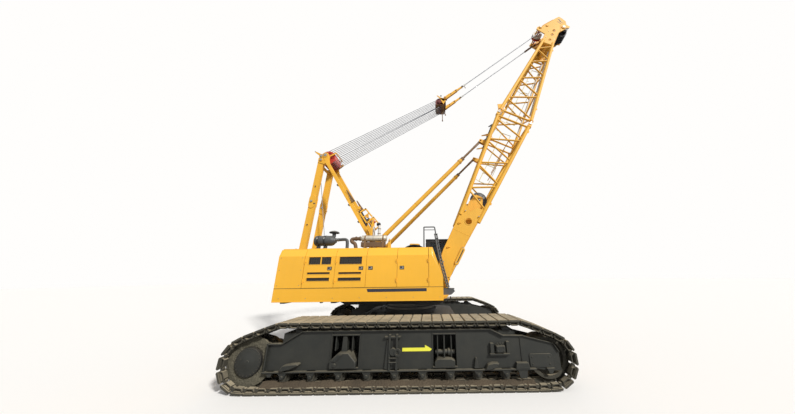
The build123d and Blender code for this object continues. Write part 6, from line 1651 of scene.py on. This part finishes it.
def makeControls():    # armrest consoles, levers, pedals and a small blank screen
    bm = bmesh.new()
    for y in (1.345, 1.895):
        addPlate(bm, [(0.98, 2.58), (1.00, 2.64), (1.36, 2.655), (1.43, 2.62), (1.40, 2.50), (1.10, 2.44)],
                 y - 0.042, y + 0.042, 0.014, 0)
        addRod(bm, (1.34, y, 2.64), (1.36, y, 2.76), 0.012, segments=12, paint=1)
        addTurned(bm, [(0.0, 0.0), (0.020, 0.0), (0.026, 0.03), (0.030, 0.07), (0.018, 0.09), (0.0, 0.092)],
                  (1.36, y, 2.75), 24, 0, (0.1, 0, 1), closed=False)
        addBlock(bm, (1.02, y - 0.030, 2.645), (1.24, y + 0.030, 2.656), 0.003, 1)
        for step in range(4):
            addRod(bm, (1.05 + 0.05 * step, y, 2.655), (1.05 + 0.05 * step, y, 2.668), 0.009, segments=10,
                   paint=2)
    for y in (1.50, 1.66, 1.80):
        addPlate(bm, [(1.40, 2.02), (1.46, 2.05), (1.52, 2.20), (1.50, 2.21), (1.43, 2.07)], y - 0.035,
                 y + 0.035, 0.006, 1)
    addBlock(bm, (1.55, 1.24, 2.60), (1.60, 1.44, 2.86), 0.012, 0)
    addBlock(bm, (1.546, 1.26, 2.63), (1.552, 1.42, 2.84), 0.004, 3)
    addRod(bm, (1.575, 1.30, 2.20), (1.575, 1.30, 2.62), 0.018, segments=14, paint=1)
    finishPiece("cabControls", bm, ["plasticBlack", "winchDark", "bareSteel", "stripeNavy"],
                "superstructure")


def makeCushion(name, low, high, seams):    # crowned pad with rounded corners and sewn channels
    low, high = Vector(low), Vector(high)
    size = high - low
    thin = min(range(3), key=lambda i: size[i])
    bm = bmesh.new()
    bmesh.ops.create_cube(bm, size=1.0)
    bmesh.ops.subdivide_edges(bm, edges=bm.edges, cuts=13, use_grid_fill=True)
    for vert in bm.verts:
        spread = [abs(vert.co[i]) * 2 for i in range(3) if i != thin]
        crown = (1 - spread[0] ** 4) * (1 - spread[1] ** 4)
        vert.co[thin] *= 0.60 + 0.40 * crown ** 0.5
        for i in range(3):
            if i != thin:
                across = abs(vert.co[3 - i - thin]) * 2
                vert.co[i] *= 1.0 - 0.055 * (abs(vert.co[i]) * 2) ** 6 * (1 - across ** 2)
        for axis, place in seams:
            away = abs(vert.co[axis] - place)
            if away < 0.05 and abs(vert.co[thin]) > 0.2:
                vert.co[thin] *= 1.0 - 0.16 * (1 - away / 0.05)
    bmesh.ops.transform(bm, matrix=Matrix.Translation((low + high) / 2) @ Matrix.Diagonal((*size, 1.0)),
                        verts=bm.verts)
    bmesh.ops.smooth_vert(bm, verts=bm.verts, factor=0.4, use_axis_x=True, use_axis_y=True, use_axis_z=True)
    piece = finishPiece(name, bm, ["seatCloth", "rubberBlack"], "superstructure",
                        ["operator_seat"] if "Base" in name else (), sharp=3.0)
    soft = piece.modifiers.new("round", "SUBSURF")
    soft.levels = soft.render_levels = 1


def makeSeat():
    makeCushion("seatBase", (0.84, 1.41, 2.43), (1.30, 1.85, 2.545),
                [(0, 0.17), (0, -0.17), (1, 0.25), (1, -0.25)])
    makeCushion("seatBack", (0.82, 1.42, 2.55), (0.93, 1.84, 3.02),
                [(2, 0.17), (2, -0.17), (1, 0.27), (1, -0.27)])
    makeCushion("headRest", (0.835, 1.52, 3.03), (0.92, 1.74, 3.15), [])
    bm = bmesh.new()
    addPlate(bm, [(0.82, 2.40), (1.28, 2.40), (1.30, 2.43), (0.84, 2.43)], 1.42, 1.84, 0.008)
    addBlock(bm, (0.825, 1.44, 2.44), (0.845, 1.82, 3.00), 0.008)
    for y in (1.56, 1.70):
        addRod(bm, (0.87, y, 2.98), (0.87, y, 3.06), 0.008, segments=10, paint=1)
    for step in range(6):    # bellows of the sprung base
        z = 2.03 + step * 0.06
        addTurned(bm, [(0.0, 0.0), (0.085, 0.0), (0.105, 0.030), (0.085, 0.060), (0.0, 0.060)],
                  (1.05, 1.63, z), 28, 0, (0, 0, 1), closed=False)
    for y in (1.50, 1.76):
        addBlock(bm, (0.84, y - 0.02, 2.004), (1.26, y + 0.02, 2.03), 0.004, 1)
    finishPiece("seatFrame", bm, ["rubberBlack", "winchDark"], "superstructure")


def makeBoardingLadder():    # handrail over the front wing, the sloping ladder and its step
    bm = bmesh.new()
    y = -1.22
    addTube(bm, [(0.53, y, 3.285), (0.53, y, 3.96), (0.53, y, 4.0), (0.58, y, 4.0), (0.84, y, 4.0),
                 (0.89, y, 4.0), (0.905, y, 3.96), (0.935, y, 3.75)], 0.021, 0, sides=3)
    addRod(bm, (0.53, y, 3.90), (0.90, y, 3.90), 0.012, segments=12)
    addTurned(bm, [(0.020, 0.0), (0.055, 0.0), (0.055, 0.012), (0.020, 0.012)], (0.53, y, 3.285), 24, 0,
              (0, 0, 1))
    line = [(0.935, 3.75), (1.00, 3.32), (1.06, 2.98), (1.13, 2.66), (1.21, 2.34), (1.29, 2.03)]
    for shift, across in ((-0.032, -0.03), (0.032, 0.03)):
        addTube(bm, [(x + shift, y + across, z) for x, z in line], 0.024, 0, sides=2)
    for number in range(16):    # twisted rungs between the two ropes
        share = number / 15 * (len(line) - 1)
        index = min(int(share), len(line) - 2)
        (x0, z0), (x1, z1) = line[index], line[index + 1]
        x, z = x0 + (x1 - x0) * (share - index), z0 + (z1 - z0) * (share - index)
        addBlock(bm, (x - 0.060, y - 0.045, z - 0.012), (x + 0.060, y + 0.045, z + 0.012), 0.006, 0)
        addRod(bm, (x - 0.045, y - 0.035, z - 0.075), (x + 0.045, y + 0.035, z + 0.02), 0.011, segments=8)
    addPlate(bm, [(1.13, 1.99), (1.47, 1.98), (1.50, 1.90), (1.38, 1.80), (1.13, 1.78)], -1.30, -1.15,
             0.006, 0)
    addPlate(bm, [(1.16, 2.0), (1.49, 1.992), (1.50, 1.975), (1.16, 1.982)], -1.31, -1.14, 0.002, 2)
    addPlate(bm, [(1.126, 1.70), (1.21, 1.70), (1.30, 1.80), (1.126, 1.80)], -1.40, -1.18, 0.005, 3)
    addBolts(bm, [((1.175, -1.40, 1.74), (0, -1, 0))], 0.012, 0.01, 1)
    finishPiece("handrailLadder", bm, ["railGrey", "frameBlackAndPaintedShade", "treadPlate", "boomYellow"],
                "superstructure", ["boarding_ladder"], sharp=0.7)


def makeCarbodyTrim():    # ring of slewing bolts, grease pipes, steps and the hose bundle on the boom foot
    bm = bmesh.new()
    ring = [math.tau * i / 44 for i in range(44)]
    addBolts(bm, [((0.80 * math.cos(t), 0.80 * math.sin(t), 1.305), (0, 0, -1)) for t in ring[::2]], 0.022,
             0.018, 1)
    addTurned(bm, [(0.862, -0.006), (0.880, -0.006), (0.880, 0.022), (0.862, 0.022)], (0, 0, 1.392), 96, 0,
              (0, 0, 1))
    for side in (-1, 1):
        for x in (-1.30, -0.50, 0.50, 1.30):
            addPlate(bm, [(x - 0.015, 0.60), (x + 0.015, 0.60), (x + 0.015, 1.10), (x - 0.015, 1.10)],
                     *sorted((side * 1.95, side * 2.32)), 0.004)
        addRod(bm, (-1.50, side * 1.10, 0.86), (-1.56, side * 1.10, 0.86), 0.050, segments=20, paint=1,
               bevel=0.004)
        addTube(bm, [(-1.20, side * 0.40, 1.22), (-1.20, side * 1.60, 1.225), (-1.60, side * 2.05, 1.10),
                     (-2.30, side * 2.15, 0.95)], 0.018, 2, sides=3)
        addTube(bm, [(-1.14, side * 0.40, 1.22), (-1.14, side * 1.62, 1.225), (-1.55, side * 2.10, 1.08),
                     (-2.30, side * 2.20, 0.90)], 0.018, 2, sides=3)
    # the carbody trim's near-black finish is painted shade under the house
    finishPiece("carbodyTrim", bm, ["frameBlackAndPaintedShade", "greasedSteel", "rubberBlack"], "undercarriage")
    bm = bmesh.new()    # lamps and hose clips on the deck's front and rear edge
    for y in (-0.62, 0.62):
        addBlock(bm, (1.40, y - 0.05, 1.62), (1.43, y + 0.05, 1.70), 0.008, 0)
        addRod(bm, (1.425, y, 1.66), (1.445, y, 1.66), 0.030, segments=24, paint=1, bevel=0.004)
    for y in (-0.50, -0.25, 0.0, 0.25, 0.50):
        addBlock(bm, (-4.125, y - 0.03, 1.62), (-4.096, y + 0.03, 1.66), 0.004, 0)
    finishPiece("deckLamps", bm, ["plasticBlack", "lampGlass"], "superstructure")


makeCabTrim()
makeControls()
makeSeat()
makeBoardingLadder()
makeCarbodyTrim()
# the cab platform's near-black finish is painted shade under the cab
for node, surface in (("cab_shell", "cabBody"), ("cab_door", "cabBody"), ("cab_glass", "cabTint"),
                      ("cab_door_glass", "cabTint"),
                      ("cab_console", "plasticBlack"), ("cab_platform", "frameBlackAndPaintedShade")):
    dressNode(node, surface)
print("cab dressed")

# floor, light and camera
view = {"place": (0.7134, -8.5434, 2.3288), "turn": 0.0019, "tilt": 0.2818, "roll": -0.0127, "lens": 9.832,
        "shift": (-0.0402, 0.0095), "sun": 3.5, "sky": 0.35}


def makeFloor():
    bm = bmesh.new()
    bmesh.ops.create_grid(bm, x_segments=1, y_segments=1, size=160.0)
    mesh = bpy.data.meshes.new("studioFloor")
    bm.to_mesh(mesh)
    bm.free()
    floor = bpy.data.objects.new("studioFloor", mesh)
    scene.collection.objects.link(floor)
    look = bpy.data.materials.new("floorPale")
    look.use_nodes = True
    shader = look.node_tree.nodes["Principled BSDF"]
    path = addNode(look.node_tree, "LightPath")    # white to the camera, darker where it lights the object
    pale = mixColour(look.node_tree, path.outputs["Is Camera Ray"], rgba((0.30, 0.30, 0.30)),
                     rgba((0.98, 0.98, 0.98)))
    look.node_tree.links.new(pale, shader.inputs["Base Color"])
    shader.inputs["Roughness"].default_value = 0.8
    mesh.materials.append(look)


def makeSky():    # even light on the object, white where the camera, gloss or glass looks at it
    world = bpy.data.worlds.new("studioSky")
    scene.world = world
    world.use_nodes = True
    tree = world.node_tree
    ground = tree.nodes["Background"]
    ground.inputs["Color"].default_value = (1.0, 0.99, 0.975, 1.0)
    path = addNode(tree, "LightPath")
    seen = mathNode(tree, "MAXIMUM", path.outputs["Is Camera Ray"], path.outputs["Is Transmission Ray"])
    seen = mathNode(tree, "MAXIMUM", seen, path.outputs["Is Glossy Ray"])
    tree.links.new(rangeNode(tree, seen, 0.0, 1.0, view["sky"], 1.0), ground.inputs["Strength"])


def makeSun():
    lamp = bpy.data.lights.new("softSun", "SUN")
    lamp.energy = view["sun"]
    lamp.angle = 0.12
    lamp.color = (1.0, 0.97, 0.92)
    holder = bpy.data.objects.new("softSun", lamp)
    holder.rotation_euler = Vector((-0.72, 0.78, -0.78)).to_track_quat("-Z", "Y").to_euler()
    scene.collection.objects.link(holder)


def makeCamera():
    ahead = Vector((math.sin(view["turn"]), math.cos(view["turn"]), 0.0))
    right = Vector((math.cos(view["turn"]), -math.sin(view["turn"]), 0.0))
    up = Vector((0.0, 0.0, 1.0))
    look = ahead * math.cos(view["tilt"]) + up * math.sin(view["tilt"])
    lift = up * math.cos(view["tilt"]) - ahead * math.sin(view["tilt"])
    side = right * math.cos(view["roll"]) + lift * math.sin(view["roll"])
    top = lift * math.cos(view["roll"]) - right * math.sin(view["roll"])
    data = bpy.data.cameras.new("viewCamera")
    data.sensor_width = 36.0
    data.lens = view["lens"]
    data.shift_x, data.shift_y = view["shift"]
    camera = bpy.data.objects.new("viewCamera", data)
    place = view["place"]
    camera.matrix_world = Matrix([(side[i], top[i], -look[i], place[i]) for i in range(3)] + [(0, 0, 0, 1)])
    scene.collection.objects.link(camera)
    scene.camera = camera


makeFloor()
makeSky()
makeSun()
makeCamera()
scene.view_settings.view_transform = "Standard"
print("stage set")
